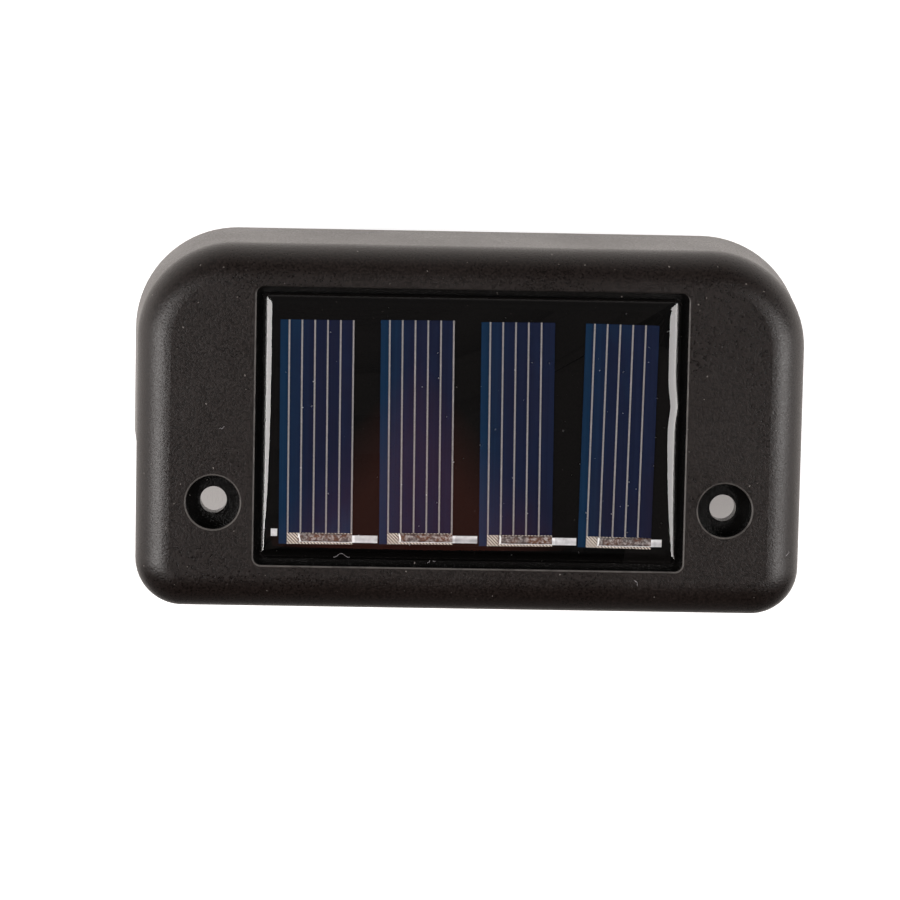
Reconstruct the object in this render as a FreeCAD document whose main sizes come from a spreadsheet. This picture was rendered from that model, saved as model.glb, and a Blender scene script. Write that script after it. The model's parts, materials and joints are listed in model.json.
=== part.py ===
import FreeCAD, Part
import math
import os
import re
import Sketcher

# Solar fence light: an L-shaped housing that hooks over the edge of a rail or step.
# Frame: origin midway between the two screw holes, on the underside of the flange.
# +Z is the solar face's normal, -Y is the lit front, X runs along the light. Millimetres.

SIZES = {
    # housing
    "body_width": 105.0,
    "body_depth": 57.6,
    "leg_depth": 31.8,
    "face_height": 7.0,
    "skirt_drop": 16.0,
    "skirt_draft": 4.0,
    "leg_drop": 36.0,
    "front_corner": 15.2,
    "rear_corner": 7.5,
    "edge_round": 5.5,
    "sole_bevel": 0.8,
    "hood_wall": 2.0,
    "cover_wall": 1.8,
    "plate_thickness": 1.5,
    "fit_gap": 0.15,
    # screw holes in the flange
    "hole_spacing": 80.4,
    "hole_from_rear": 17.0,
    "hole_diameter": 4.2,
    "counterbore_diameter": 8.4,
    "counterbore_depth": 3.8,
    "counterbore_bevel": 0.25,
    "boss_wall": 1.3,
    # recess for the solar panel
    "recess_width": 67.5,
    "recess_front_margin": 6.6,
    "recess_rear_margin": 7.2,
    "recess_depth": 2.3,
    "recess_corner": 1.2,
    "recess_bevel": 0.25,
    "recess_floor": 1.5,
    "recess_wall": 1.5,
    # solar panel; each hand-laid cell has its place along X, its shift in Y and its turn
    "panel_gap": 1.05,
    "panel_corner": 0.8,
    "adhesive_thickness": 0.25,
    "panel_board_thickness": 0.8,
    "resin_thickness": 1.05,
    "resin_bevel": 0.5,
    "cell_width": 11.5,
    "cell_length": 35.3,
    "cell_thickness": 0.2,
    "cell_place_1": 24.15,
    "cell_place_2": 8.45,
    "cell_place_3": -7.25,
    "cell_place_4": -23.2,
    "cell_shift_1": 0.85,
    "cell_shift_2": 0.65,
    "cell_shift_3": 0.7,
    "cell_shift_4": 0.75,
    "cell_turn_1": 0.35,
    "cell_turn_2": 0.52,
    "cell_turn_3": 0.5,
    "cell_turn_4": -0.78,
    "grid_thickness": 0.04,
    "finger_width": 0.25,
    "finger_pitch": 2.0,
    "first_finger": 1.4,
    "busbar_width": 1.75,
    "ribbon_width": 1.15,
    "ribbon_thickness": 0.15,
    "ribbon_start": 3.0,
    "ribbon_drop": 0.45,
    "ribbon_edge": 0.25,
    "ribbon_stub": 1.0,
    # lens
    "lens_inset": 1.0,
    "lens_wall": 2.2,
    "lens_tongue": 3.0,
    "rim_height": 5.0,
    "lens_end": 5.0,
    "flute_depth": 0.6,
    "flute_pitch": 2.4,
    # reflector and light board
    "reflector_gap": 0.4,
    "reflector_wall": 1.2,
    "reflector_depth": 14.8,
    "reflector_top": 5.3,
    "light_spacing": 22.0,
    "light_window": 0.5,
    "light_width": 3.5,
    "light_height": 2.8,
    "light_thickness": 0.9,
    "light_well": 1.1,
    "light_drop": 19.5,
    "light_board_length": 60.0,
    "light_board_height": 9.0,
    "board_thickness": 1.0,
    # cell and its holder
    "battery_diameter": 10.5,
    "battery_length": 44.5,
    "nub_diameter": 3.8,
    "nub_height": 0.8,
    "battery_shift": 7.2,
    "holder_wall": 1.2,
    "holder_end": 4.0,
    "holder_gap": 0.25,
    "holder_behind": 0.4,
    "contact_space": 2.2,
    "contact_thickness": 0.4,
    "contact_width": 7.0,
    "tail_width": 2.0,
    "tail_rise": 1.2,
    "board_inset": 0.5,
    # parts on the control board
    "chip_length": 4.2,
    "chip_width": 3.2,
    "chip_height": 1.5,
    "chip_place": 11.5,
    "inductor_diameter": 3.2,
    "inductor_length": 7.0,
    "inductor_place": 2.0,
    "lead_diameter": 0.6,
    # slide switch
    "switch_place": 28.6,
    "switch_length": 8.6,
    "switch_width": 4.4,
    "switch_height": 4.5,
    "switch_plate": 0.5,
    "ear_length": 14.0,
    "well_depth": 2.0,
    "well_floor": 1.5,
    "well_length": 9.0,
    "well_width": 6.0,
    "knob_length": 2.4,
    "knob_width": 2.0,
    "knob_travel": 2.0,
    "knob_recess": 0.6,
    "foot_length": 4.2,
    "foot_width": 3.0,
    "foot_height": 1.2,
    "slide_gap": 0.2,
    "pin_pitch": 2.5,
    "pin_length": 2.5,
    # housing screws and gasket
    "leg_screw_from_side": 7.5,
    "leg_screw_ahead": 10.0,
    "leg_screw_diameter": 2.6,
    "leg_screw_length": 11.0,
    "leg_post_rise": 6.1,
    "leg_post_wall": 1.4,
    "flange_screw_spacing": 48.0,
    "flange_screw_diameter": 2.0,
    "flange_screw_length": 4.0,
    "head_ratio": 1.8,
    "head_height": 1.6,
    "well_gap": 0.3,
    "small_screw_diameter": 1.4,
    "small_screw_length": 3.0,
    "small_head_height": 0.7,
    "gasket_width": 1.0,
    "gasket_depth": 0.8,
    # wires
    "wire_diameter": 1.2,
    "wire_bend": 3.0,
    "wire_hole": 4.6,
    "panel_wire_fan": 2.5,
}

QUARTER = math.pi / 2
BEVEL = -45
FINGERS = (6, 6, 5, 5)

FRONT = "(hole_from_rear - body_depth)"
REAR = "hole_from_rear"
LEG_BACK = "(hole_from_rear - body_depth + leg_depth)"
SIDE = "body_width / 2"
RECESS_FLOOR = "(face_height - recess_depth)"
ROOF = "(face_height - recess_depth - recess_floor)"
PANEL_BOTTOM = "(face_height - recess_depth + adhesive_thickness)"
CELL_BOTTOM = "(face_height - recess_depth + adhesive_thickness + panel_board_thickness)"
CELL_TOP = "(" + CELL_BOTTOM + " + cell_thickness)"
PANEL_MIDDLE = "(hole_from_rear - body_depth / 2 + (recess_front_margin - recess_rear_margin) / 2)"
SOLE = "(-leg_drop + cover_wall)"
REFLECTOR_BACK = "(hole_from_rear - body_depth + reflector_depth)"
BATTERY_Y = ("(hole_from_rear - body_depth + leg_depth - cover_wall - holder_behind"
             " - holder_wall - holder_gap - battery_diameter / 2)")
BATTERY_Z = "(-leg_drop + cover_wall + holder_wall + holder_gap + battery_diameter / 2)"
HOLDER_HALF = "(battery_length / 2 + contact_space + holder_end)"
HOLDER_TOP = "(-leg_drop + cover_wall + holder_wall + 2 * holder_gap + battery_diameter)"
BOARD_TOP = "(-leg_drop + cover_wall + holder_wall + 2 * holder_gap + battery_diameter + board_thickness)"
SWITCH_SEAT = "(-leg_drop + well_depth + well_floor)"
LEG_SCREW_X = "(body_width / 2 - leg_screw_from_side)"
LEG_SCREW_Y = "(hole_from_rear - body_depth + leg_depth - leg_screw_ahead)"
POST_TOP = "(-leg_drop + cover_wall + leg_post_rise)"
EAR_HOLE = "((ear_length + switch_length) / 4)"
FLANGE_SCREW_Y = "(hole_from_rear - hood_wall - (recess_rear_margin - hood_wall - recess_wall) / 2)"

doc = FreeCAD.newDocument("fence_light")
sheet = doc.addObject("Spreadsheet::Sheet", "sizes")


def fill_sheet():
    """Each size in a cell of its own, named by an alias."""
    for row, (name, number) in enumerate(SIZES.items(), start=1):
        sheet.set("A%d" % row, name)
        sheet.set("B%d" % row, str(number))
        sheet.setAlias("B%d" % row, name)
    doc.recompute()


def bound(text):
    """The expression with each size read from the sheet."""
    return re.sub(r"[a-z]\w+", lambda word: qualified(word.group()), text)


def qualified(word):
    return "sizes." + word if word in SIZES else word


def value(text):
    return float(sheet.evalExpression(bound(text)))


def new_body(label, x="0", y="0", z="0"):
    """A body at the given place."""
    body = doc.addObject("PartDesign::Body", label)
    body.Label = label
    for axis, place in (("x", x), ("y", y), ("z", z)):
        if place != "0":
            body.setExpression("Placement.Base." + axis, bound(place))
    return body


class Drawing:
    """A sketch on one of its body's origin planes, with every size bound to the sheet."""

    def __init__(self, body, plane="XY_Plane", offset="0"):
        self.body = body
        self.sketch = body.newObject("Sketcher::SketchObject", body.Name + "_sketch")
        support = [item for item in body.Origin.OriginFeatures if item.Role == plane][0]
        self.sketch.AttachmentSupport = [(support, "")]
        self.sketch.MapMode = "FlatFace"
        if offset != "0":
            self.sketch.setExpression("AttachmentOffset.Base.z", bound(offset))

    def rule(self, kind, *arguments):
        """One sketch constraint, bound to the expression that ends its arguments."""
        number = value(arguments[-1])
        index = self.sketch.addConstraint(Sketcher.Constraint(kind, *arguments[:-1], number))
        self.sketch.renameConstraint(index, "size_%d" % index)
        self.sketch.setExpression("Constraints.size_%d" % index, bound(arguments[-1]))

    def circle(self, x, y, radius):
        centre = FreeCAD.Vector(value(x), value(y), 0)
        shape = Part.Circle(centre, FreeCAD.Vector(0, 0, 1), value(radius))
        index = self.sketch.addGeometry(shape)
        self.rule("DistanceX", -1, 1, index, 3, x)
        self.rule("DistanceY", -1, 1, index, 3, y)
        self.rule("Radius", index, radius)
        return self

    def pair(self, x, y, radius):
        """Two circles, one each side of the middle."""
        self.circle(x, y, radius)
        return self.circle("-(" + x + ")", y, radius)

    def polygon(self, *corners):
        """A closed outline through free corners."""
        points = [FreeCAD.Vector(value(x), value(y), 0) for x, y in corners]
        count = len(points)
        edges = [self.sketch.addGeometry(Part.LineSegment(points[i], points[(i + 1) % count]))
                 for i in range(count)]
        for i, (x, y) in enumerate(corners):
            self.sketch.addConstraint(
                Sketcher.Constraint("Coincident", edges[i - 1], 2, edges[i], 1))
            self.rule("DistanceX", -1, 1, edges[i], 1, x)
            self.rule("DistanceY", -1, 1, edges[i], 1, y)
        return self

    def chain(self, *corners):
        """An open line of straight edges through free corners."""
        points = [FreeCAD.Vector(value(x), value(y), 0) for x, y in corners]
        edges = [self.sketch.addGeometry(Part.LineSegment(*points[i:i + 2]))
                 for i in range(len(points) - 1)]
        for i, edge in enumerate(edges):
            if i:
                self.sketch.addConstraint(
                    Sketcher.Constraint("Coincident", edges[i - 1], 2, edge, 1))
            self.rule("DistanceX", -1, 1, edge, 1, corners[i][0])
            self.rule("DistanceY", -1, 1, edge, 1, corners[i][1])
        self.rule("DistanceX", -1, 1, edges[-1], 2, corners[-1][0])
        self.rule("DistanceY", -1, 1, edges[-1], 2, corners[-1][1])
        return self

    def outline(self, *corners):
        """A closed outline along the axes, through corners (x, y) or rounded ones (x, y, radius)."""
        points = [FreeCAD.Vector(value(c[0]), value(c[1]), 0) for c in corners]
        count = len(points)
        ways = [(points[(i + 1) % count] - points[i]).normalize() for i in range(count)]
        radii = [value(c[2]) if len(c) > 2 else 0.0 for c in corners]
        edges = []
        for i in range(count):
            start = points[i] + ways[i] * radii[i]
            end = points[(i + 1) % count] - ways[i] * radii[(i + 1) % count]
            edges.append(self.sketch.addGeometry(Part.LineSegment(start, end)))
            self.hold_edge(edges[i], ways[i], corners[i])
        for i in range(count):
            self.join(edges[i - 1], edges[i], ways[i - 1], ways[i], points[i], corners[i])
        return self

    def hold_edge(self, edge, way, corner):
        """Keeps an edge level or upright, at its own distance from the origin."""
        level = abs(way.x) > 0.5
        self.sketch.addConstraint(Sketcher.Constraint("Horizontal" if level else "Vertical", edge))
        self.rule("DistanceY" if level else "DistanceX", -1, 1, edge, 1, corner[1 if level else 0])

    def join(self, before, after, way_in, way_out, point, corner):
        """Joins two edges, by an arc where the corner has a radius."""
        if len(corner) < 3:
            self.sketch.addConstraint(Sketcher.Constraint("Coincident", before, 2, after, 1))
            return
        radius = value(corner[2])
        centre = point - way_in * radius + way_out * radius
        left = way_in.cross(way_out).z > 0
        first = -way_out if left else way_in
        start = FreeCAD.Vector(1, 0, 0).getAngle(first) * (1 if first.y >= 0 else -1)
        circle = Part.Circle(centre, FreeCAD.Vector(0, 0, 1), radius)
        arc = self.sketch.addGeometry(Part.ArcOfCircle(circle, start, start + QUARTER))
        ends = (1, 2) if left else (2, 1)
        self.sketch.addConstraint(Sketcher.Constraint("Tangent", before, 2, arc, ends[0]))
        self.sketch.addConstraint(Sketcher.Constraint("Tangent", arc, ends[1], after, 1))
        self.rule("Radius", arc, corner[2])

    def pad(self, length, down=False, both=False):
        feature = self.body.newObject("PartDesign::Pad", self.body.Name + "_pad")
        feature.Profile = self.sketch
        feature.Reversed = down
        feature.Midplane = both
        feature.setExpression("Length", bound(length))
        return self.finish(feature)

    def pocket(self, length, up=False, both=False):
        before = self.body.Shape.Volume
        feature = self.body.newObject("PartDesign::Pocket", self.body.Name + "_pocket")
        feature.Profile = self.sketch
        feature.Reversed = up
        feature.Midplane = both
        feature.setExpression("Length", bound(length))
        self.finish(feature)
        if self.body.Shape.Volume >= before:
            raise RuntimeError("a pocket cuts nothing in " + self.body.Label)
        return feature

    def revolve(self, axis="H_Axis"):
        feature = self.body.newObject("PartDesign::Revolution", self.body.Name + "_turn")
        feature.Profile = self.sketch
        feature.ReferenceAxis = (self.sketch, [axis])
        feature.Angle = 360
        return self.finish(feature)

    def hole(self, diameter, wide_diameter, wide_depth):
        """Counterbored holes right through, at the sketch's circles."""
        doc.recompute()
        feature = self.body.newObject("PartDesign::Hole", self.body.Name + "_hole")
        feature.Profile = self.sketch
        feature.ThreadType = 0
        feature.DepthType = "ThroughAll"
        feature.HoleCutType = "Counterbore"
        feature.HoleCutCustomValues = True
        feature.setExpression("Diameter", bound(diameter))
        feature.setExpression("HoleCutDiameter", bound(wide_diameter))
        feature.setExpression("HoleCutDepth", bound(wide_depth))
        return self.finish(feature)

    def finish(self, feature):
        self.sketch.Visibility = False
        self.body.Tip = feature
        doc.recompute()
        return feature


def edges_where(body, test):
    """Names of the body's edges that pass the test, in the body's own coordinates."""
    edges = enumerate(body.Tip.Shape.Edges, start=1)
    return ["Edge%d" % number for number, edge in edges if test(edge)]


def lies_at(edge, height):
    """Whether the whole edge lies at one height."""
    box = edge.BoundBox
    return abs(box.ZMin - height) < 1e-4 and abs(box.ZMax - height) < 1e-4


def dress(body, kind, names, size):
    """A fillet or a chamfer on the named edges."""
    base = body.Tip
    feature = body.newObject("PartDesign::" + kind, body.Name + "_" + kind.lower())
    feature.Base = (base, names)
    feature.setExpression("Radius" if kind == "Fillet" else "Size", bound(size))
    body.Tip = feature
    doc.recompute()
    return feature


def rectangle(left, right, low, high):
    return ((left, low), (right, low), (right, high), (left, high))


def housing_plan(inset, back=REAR, rear_corner="rear_corner"):
    """Corners of the housing's plan, drawn in by an inset; the back may stop at the leg."""
    side = "(" + SIDE + " - " + inset + ")"
    front_round = "(front_corner - " + inset + ")"
    rear_round = ("(" + rear_corner + " - " + inset + ")",) if rear_corner else ()
    low = "(" + FRONT + " + " + inset + ")"
    return (("-" + side, low, front_round), (side, low, front_round),
            (side, back) + rear_round, ("-" + side, back) + rear_round)


def u_plan(outer, inner, back):
    """Corners of a U-shaped band along the front and sides, between two insets."""
    far = "(" + SIDE + " - " + outer + ")"
    near = "(" + SIDE + " - " + inner + ")"
    low = "(" + FRONT + " + " + outer + ")"
    high = "(" + FRONT + " + " + inner + ")"
    outer_round = "(front_corner - " + outer + ")"
    inner_round = "(front_corner - " + inner + ")"
    return (("-" + far, back), ("-" + far, low, outer_round), (far, low, outer_round), (far, back),
            (near, back), (near, high, inner_round), ("-" + near, high, inner_round),
            ("-" + near, back))


def recess_plan(grow, corner):
    """Corners of the panel recess, grown on all sides."""
    side = "(recess_width / 2 + " + grow + ")"
    low = "(" + FRONT + " + recess_front_margin - " + grow + ")"
    high = "(" + REAR + " - recess_rear_margin + " + grow + ")"
    return tuple((x, y, corner) for x, y in rectangle("-" + side, side, low, high))


def top_housing():
    """The hood: a filleted shell with the panel recess, screw bosses and the flared front skirt."""
    body = new_body("top_housing")
    Drawing(body, offset="face_height").outline(*housing_plan("0")).pad("face_height", down=True)
    face = value("face_height")
    dress(body, "Fillet", edges_where(body, lambda edge: lies_at(edge, face)), "edge_round")
    Drawing(body, offset="plate_thickness").outline(*housing_plan("0", LEG_BACK, None)).pad(
        "plate_thickness + skirt_drop", down=True).setExpression(
            "TaperAngle", bound("skirt_draft"))
    doc.recompute()
    beyond = "(" + SIDE + " + 2 * hood_wall)"
    Drawing(body, offset="plate_thickness").outline(
        *rectangle("-" + beyond, beyond, LEG_BACK, "(" + REAR + " + hood_wall)")).pocket(
            "plate_thickness + skirt_drop")
    inner = "(" + REAR + " - hood_wall)"
    Drawing(body, offset="-skirt_drop").outline(*housing_plan("hood_wall", inner)).pocket(
        ROOF + " + skirt_drop", up=True)
    Drawing(body, offset=ROOF).outline(*housing_plan("hood_wall", inner)).outline(
        *recess_plan("recess_wall", "(recess_corner + recess_wall)")).pocket(
            "face_height - hood_wall - " + ROOF, up=True)
    Drawing(body, offset="face_height").outline(*recess_plan("0", "recess_corner")).pocket(
        "recess_depth")
    dress(body, "Chamfer", edges_where(body, lambda edge: lies_at(edge, face) and by_recess(
        edge)), "recess_bevel")
    ceiling = "(face_height - hood_wall / 2)"
    Drawing(body).pair("hole_spacing / 2", "0", "counterbore_diameter / 2 + boss_wall").pad(ceiling)
    post_radius = "(leg_screw_diameter / 2 + leg_post_wall)"
    Drawing(body, offset="(" + POST_TOP + " + fit_gap)").pair(
        LEG_SCREW_X, LEG_SCREW_Y, post_radius).pad(
            ceiling + " - " + POST_TOP + " - fit_gap")
    Drawing(body, offset="plate_thickness").pair(
        "flange_screw_spacing / 2", FLANGE_SCREW_Y, "flange_screw_diameter").pad(
            "face_height - hood_wall - plate_thickness")
    Drawing(body, offset="face_height").pair("hole_spacing / 2", "0", "hole_diameter / 2").hole(
        "hole_diameter", "counterbore_diameter", "counterbore_depth")
    Drawing(body, offset="face_height").pair(
        "hole_spacing / 2", "0", "counterbore_diameter / 2 + counterbore_bevel").pocket(
            "counterbore_bevel").TaperAngle = BEVEL
    Drawing(body, offset="(" + POST_TOP + " + fit_gap)").pair(
        LEG_SCREW_X, LEG_SCREW_Y, "leg_screw_diameter / 2").pocket(
            "leg_screw_length", up=True)
    Drawing(body, offset="plate_thickness").pair(
        "flange_screw_spacing / 2", FLANGE_SCREW_Y, "flange_screw_diameter / 2").pocket(
            "flange_screw_length - plate_thickness + fit_gap", up=True)
    Drawing(body, offset=RECESS_FLOOR).outline(*wire_window()).pocket("recess_floor")
    return body


def by_recess(edge):
    """Whether an edge lies on the outline of the panel recess."""
    box = edge.BoundBox
    low = value(FRONT + " + recess_front_margin")
    high = value(REAR + " - recess_rear_margin")
    side = value("recess_width / 2")
    return (box.YMin > low - 0.01 and box.YMax < high + 0.01
            and max(abs(box.XMin), abs(box.XMax)) < side + 0.01)


def wire_window():
    """Corners of the window where the panel's wires pass the recess floor."""
    side = "(wire_hole / 2)"
    breadth = "(wire_diameter / 2 + fit_gap)"
    return rectangle("-" + side, side, "(" + BATTERY_Y + " - " + breadth + ")",
                     "(" + BATTERY_Y + " + " + breadth + ")")


def base_cover():
    """The L-shaped back: a flange plate and the leg's tray, which carries the lens."""
    body = new_body("base_cover")
    leg_top = "(-skirt_drop - fit_gap)"
    Drawing(body, offset="-leg_drop").outline(*housing_plan("0", LEG_BACK, None)).pad(
        "leg_drop + " + leg_top)
    sole = value("-leg_drop")
    dress(body, "Chamfer", edges_where(body, lambda edge: lies_at(edge, sole)), "sole_bevel")
    inner_back = "(" + LEG_BACK + " - cover_wall)"
    Drawing(body, offset=SOLE).outline(*housing_plan("cover_wall", inner_back, None)).pocket(
        leg_top + " - " + SOLE, up=True)
    beyond = "(" + SIDE + " + cover_wall)"
    Drawing(body, offset="(-leg_drop + rim_height)").outline(
        *rectangle("-" + beyond, beyond, "(" + FRONT + " - cover_wall)",
                   "(" + LEG_BACK + " - lens_end)")).pocket("leg_drop", up=True)
    neck = "(" + SIDE + " - hood_wall - fit_gap)"
    Drawing(body, offset="(-skirt_drop - 2 * fit_gap)").outline(
        *rectangle("-" + neck, neck, inner_back, LEG_BACK)).pad(
            "skirt_drop + 2 * fit_gap + plate_thickness")
    rear = ("rear_corner",)
    Drawing(body).outline(("-" + SIDE, LEG_BACK), (SIDE, LEG_BACK), (SIDE, REAR) + rear,
                          ("-" + SIDE, REAR) + rear).pad("plate_thickness")
    post_radius = "(leg_screw_diameter / 2 * head_ratio + well_gap + leg_post_wall)"
    Drawing(body, offset=SOLE).pair(LEG_SCREW_X, LEG_SCREW_Y, post_radius).pad(
        "leg_post_rise")
    Drawing(body, offset=SOLE).outline(*rectangle(
        "(switch_place - ear_length / 2 - fit_gap)", "(switch_place + ear_length / 2 + fit_gap)",
        "(" + BATTERY_Y + " - switch_width)", "(" + BATTERY_Y + " + switch_width)")).pad(
            SWITCH_SEAT + " - " + SOLE)
    cut_base_cover(body)
    return body


def cut_base_cover(body):
    """Screw holes, the gasket groove and the switch well."""
    Drawing(body, offset="plate_thickness").pair(
        "hole_spacing / 2", "0", "counterbore_diameter / 2 + boss_wall + fit_gap").pocket(
            "plate_thickness")
    mouth = Drawing(body, offset="-leg_drop")
    mouth.pair(LEG_SCREW_X, LEG_SCREW_Y,
               "leg_screw_diameter / 2 * head_ratio + well_gap").pocket(
                   "cover_wall + leg_post_rise - leg_post_wall", up=True)
    Drawing(body, offset=SOLE).pair(LEG_SCREW_X, LEG_SCREW_Y,
                                    "leg_screw_diameter / 2 + fit_gap").pocket(
                                        "leg_post_rise", up=True)
    sink = Drawing(body)
    sink.pair("flange_screw_spacing / 2", FLANGE_SCREW_Y, "flange_screw_diameter / 2 + fit_gap")
    sink.pocket("plate_thickness", up=True)
    rims = edges_where(body, lambda edge: lies_at(edge, 0) and abs(edge.CenterOfMass.y
                       - value(FLANGE_SCREW_Y)) < 0.01 and edge.Length < 20)
    dress(body, "Chamfer", rims, "flange_screw_diameter / 2 * (head_ratio - 1)")
    groove_in = "(gasket_width / 2 + hood_wall / 2)"
    groove_out = "(hood_wall / 2 - gasket_width / 2)"
    Drawing(body, offset="plate_thickness").outline(*gasket_plan(groove_out, groove_in)).pocket(
        "gasket_depth")
    slot = "(knob_length / 2 + knob_travel / 2 + slide_gap)"
    Drawing(body, offset="-leg_drop").outline(*rectangle(
        "(switch_place - well_length / 2)", "(switch_place + well_length / 2)",
        "(" + BATTERY_Y + " - well_width / 2)", "(" + BATTERY_Y + " + well_width / 2)")).pocket(
            "well_depth", up=True)
    Drawing(body, offset="-leg_drop").outline(*rectangle(
        "(switch_place - " + slot + ")", "(switch_place + " + slot + ")",
        "(" + BATTERY_Y + " - knob_width / 2 - slide_gap)",
        "(" + BATTERY_Y + " + knob_width / 2 + slide_gap)")).pocket(
            "well_depth + well_floor", up=True)
    Drawing(body, offset=SWITCH_SEAT).circle(
        "(switch_place - " + EAR_HOLE + ")", BATTERY_Y, "small_screw_diameter / 2").circle(
            "(switch_place + " + EAR_HOLE + ")", BATTERY_Y, "small_screw_diameter / 2").pocket(
                "small_screw_length")


def gasket_plan(outer, inner):
    """Corners of the U-shaped gasket in the flange plate, between two insets."""
    far = "(" + SIDE + " - " + outer + ")"
    near = "(" + SIDE + " - " + inner + ")"
    top = "(" + REAR + " - " + outer + ")"
    low = "(" + REAR + " - " + inner + ")"
    start = "(" + LEG_BACK + " + " + outer + ")"
    outer_round = "(rear_corner - " + outer + ")"
    inner_round = "(rear_corner - " + inner + ")"
    return ((far, start), (far, top, outer_round), ("-" + far, top, outer_round),
            ("-" + far, start), ("-" + near, start), ("-" + near, low, inner_round),
            (near, low, inner_round), (near, start))


def flange_gasket():
    """The rubber cord in its groove, under the hood's wall."""
    body = new_body("flange_gasket")
    Drawing(body, offset="(plate_thickness - gasket_depth)").outline(
        *gasket_plan("(hood_wall / 2 - gasket_width / 2)", "(hood_wall / 2 + gasket_width / 2)")
        ).pad("gasket_depth")
    return body


def lens_diffuser():
    """The frosted U-shaped lens, with tongues behind the hood and the tray, and inner flutes."""
    body = new_body("lens_diffuser")
    back = "(" + LEG_BACK + " - lens_end - fit_gap)"
    inner = "(lens_inset + lens_wall)"
    Drawing(body, offset="(-leg_drop + rim_height)").outline(
        *u_plan("lens_inset", inner, back)).pad("leg_drop - rim_height - skirt_drop - fit_gap")
    Drawing(body, offset="(" + SOLE + " + fit_gap)").outline(
        *u_plan("(hood_wall + fit_gap)", inner, back)).pad(
            "lens_tongue - skirt_drop - fit_gap - " + SOLE)
    face = "(" + FRONT + " + " + inner + ")"
    reach = "(" + SIDE + " - front_corner)"
    flute = Drawing(body, offset="(-leg_drop + rim_height)")
    half = "(flute_pitch / 3)"
    cut = flute.polygon(("-" + reach + " - " + half, face), ("-" + reach, face + " - flute_depth"),
                        ("-" + reach + " + " + half, face)).pocket(
                            "leg_drop - rim_height - skirt_drop - fit_gap", up=True)
    pattern = body.newObject("PartDesign::LinearPattern", "lens_flutes")
    pattern.Originals = [cut]
    pattern.Direction = (flute.sketch, ["H_Axis"])
    pattern.Occurrences = int(value("2 * " + reach + " / flute_pitch")) + 1
    pattern.setExpression("Length", bound("2 * " + reach))
    body.Tip = pattern
    doc.recompute()
    return body


def light_place(index):
    return "(%d * light_spacing)" % index


def reflector():
    """The white tray behind the lens: a back plate with two shelves and the diodes' windows."""
    body = new_body("reflector")
    Drawing(body, offset=SOLE).outline(*housing_plan(
        "(lens_inset + lens_wall + reflector_gap)", LEG_BACK, None)).pad("-reflector_top - " + SOLE)
    beyond = "(" + SIDE + " + hood_wall)"
    Drawing(body, offset=SOLE).outline(*rectangle(
        "-" + beyond, beyond, REFLECTOR_BACK, "(" + LEG_BACK + " + hood_wall)")).pocket(
            "leg_drop", up=True)
    Drawing(body, plane="XZ_Plane", offset="-(" + REFLECTOR_BACK + " - reflector_wall)").outline(
        *rectangle("-" + beyond, beyond, "(" + SOLE + " + reflector_wall)",
                   "(-reflector_top - reflector_wall)")).pocket("body_depth", up=True)
    windows = Drawing(body, plane="XZ_Plane", offset="-" + REFLECTOR_BACK)
    for index in (-1, 0, 1):
        windows.outline(*rectangle(
            "(" + light_place(index) + " - light_width / 2 - light_window)",
            "(" + light_place(index) + " + light_width / 2 + light_window)",
            "(-light_drop - light_height / 2 - light_window)",
            "(-light_drop + light_height / 2 + light_window)"))
    windows.pocket("2 * reflector_wall", both=True)
    return body


def light_board():
    """The board that carries the light-emitting diodes, stuck behind the reflector."""
    body = new_body("light_board")
    half = "(light_board_length / 2)"
    Drawing(body, plane="XZ_Plane", offset="-" + REFLECTOR_BACK).outline(
        *rectangle("-" + half, half, "(-light_drop - light_board_height / 2)",
                   "(-light_drop + light_board_height / 2)")).pad("board_thickness", down=True)
    return body


def light_diode(index):
    """One diode package with its round well, facing the lens."""
    body = new_body("led_%d" % (index + 2), x=light_place(index), y=REFLECTOR_BACK, z="-light_drop")
    Drawing(body, plane="XZ_Plane").outline(
        *rectangle("-light_width / 2", "light_width / 2", "-light_height / 2",
                   "light_height / 2")).pad("light_thickness")
    Drawing(body, plane="XZ_Plane", offset="light_thickness").outline(*rectangle(
        "-light_well", "light_well", "-light_well", "light_well")).pocket("light_thickness / 3")
    return body


def panel_plan(shrink, corner):
    side = "(recess_width / 2 - panel_gap - " + shrink + ")"
    low = "(" + FRONT + " + recess_front_margin + panel_gap + " + shrink + ")"
    high = "(" + REAR + " - recess_rear_margin - panel_gap - " + shrink + ")"
    return tuple((x, y, corner) for x, y in rectangle("-" + side, side, low, high))


def panel_adhesive():
    """The bead of glue film under the panel, open where the wires pass."""
    body = new_body("panel_adhesive")
    Drawing(body, offset=RECESS_FLOOR).outline(*panel_plan("panel_gap", "panel_corner")).outline(
        *wire_window()).pad("adhesive_thickness")
    return body


def panel_board():
    body = new_body("panel_board")
    Drawing(body, offset=PANEL_BOTTOM).outline(*panel_plan("0", "panel_corner")).pad(
        "panel_board_thickness")
    return body


def lay(body, number):
    """Lays a piece of the panel on the board, at its cell's place and turn."""
    turn = value("cell_turn_%d" % number)
    body.Placement.Rotation = FreeCAD.Rotation(FreeCAD.Vector(0, 0, 1), turn)
    body.setExpression("Placement.Base.x", bound("cell_place_%d" % number))
    body.setExpression("Placement.Base.y", bound(PANEL_MIDDLE + " + cell_shift_%d" % number))
    doc.recompute()
    return body


def solar_cell(number):
    body = new_body("solar_cell_%d" % number)
    Drawing(body, offset=CELL_BOTTOM).outline(
        *rectangle("-cell_width / 2", "cell_width / 2", "-cell_length / 2",
                   "cell_length / 2")).pad("cell_thickness")
    return lay(body, number)


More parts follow.
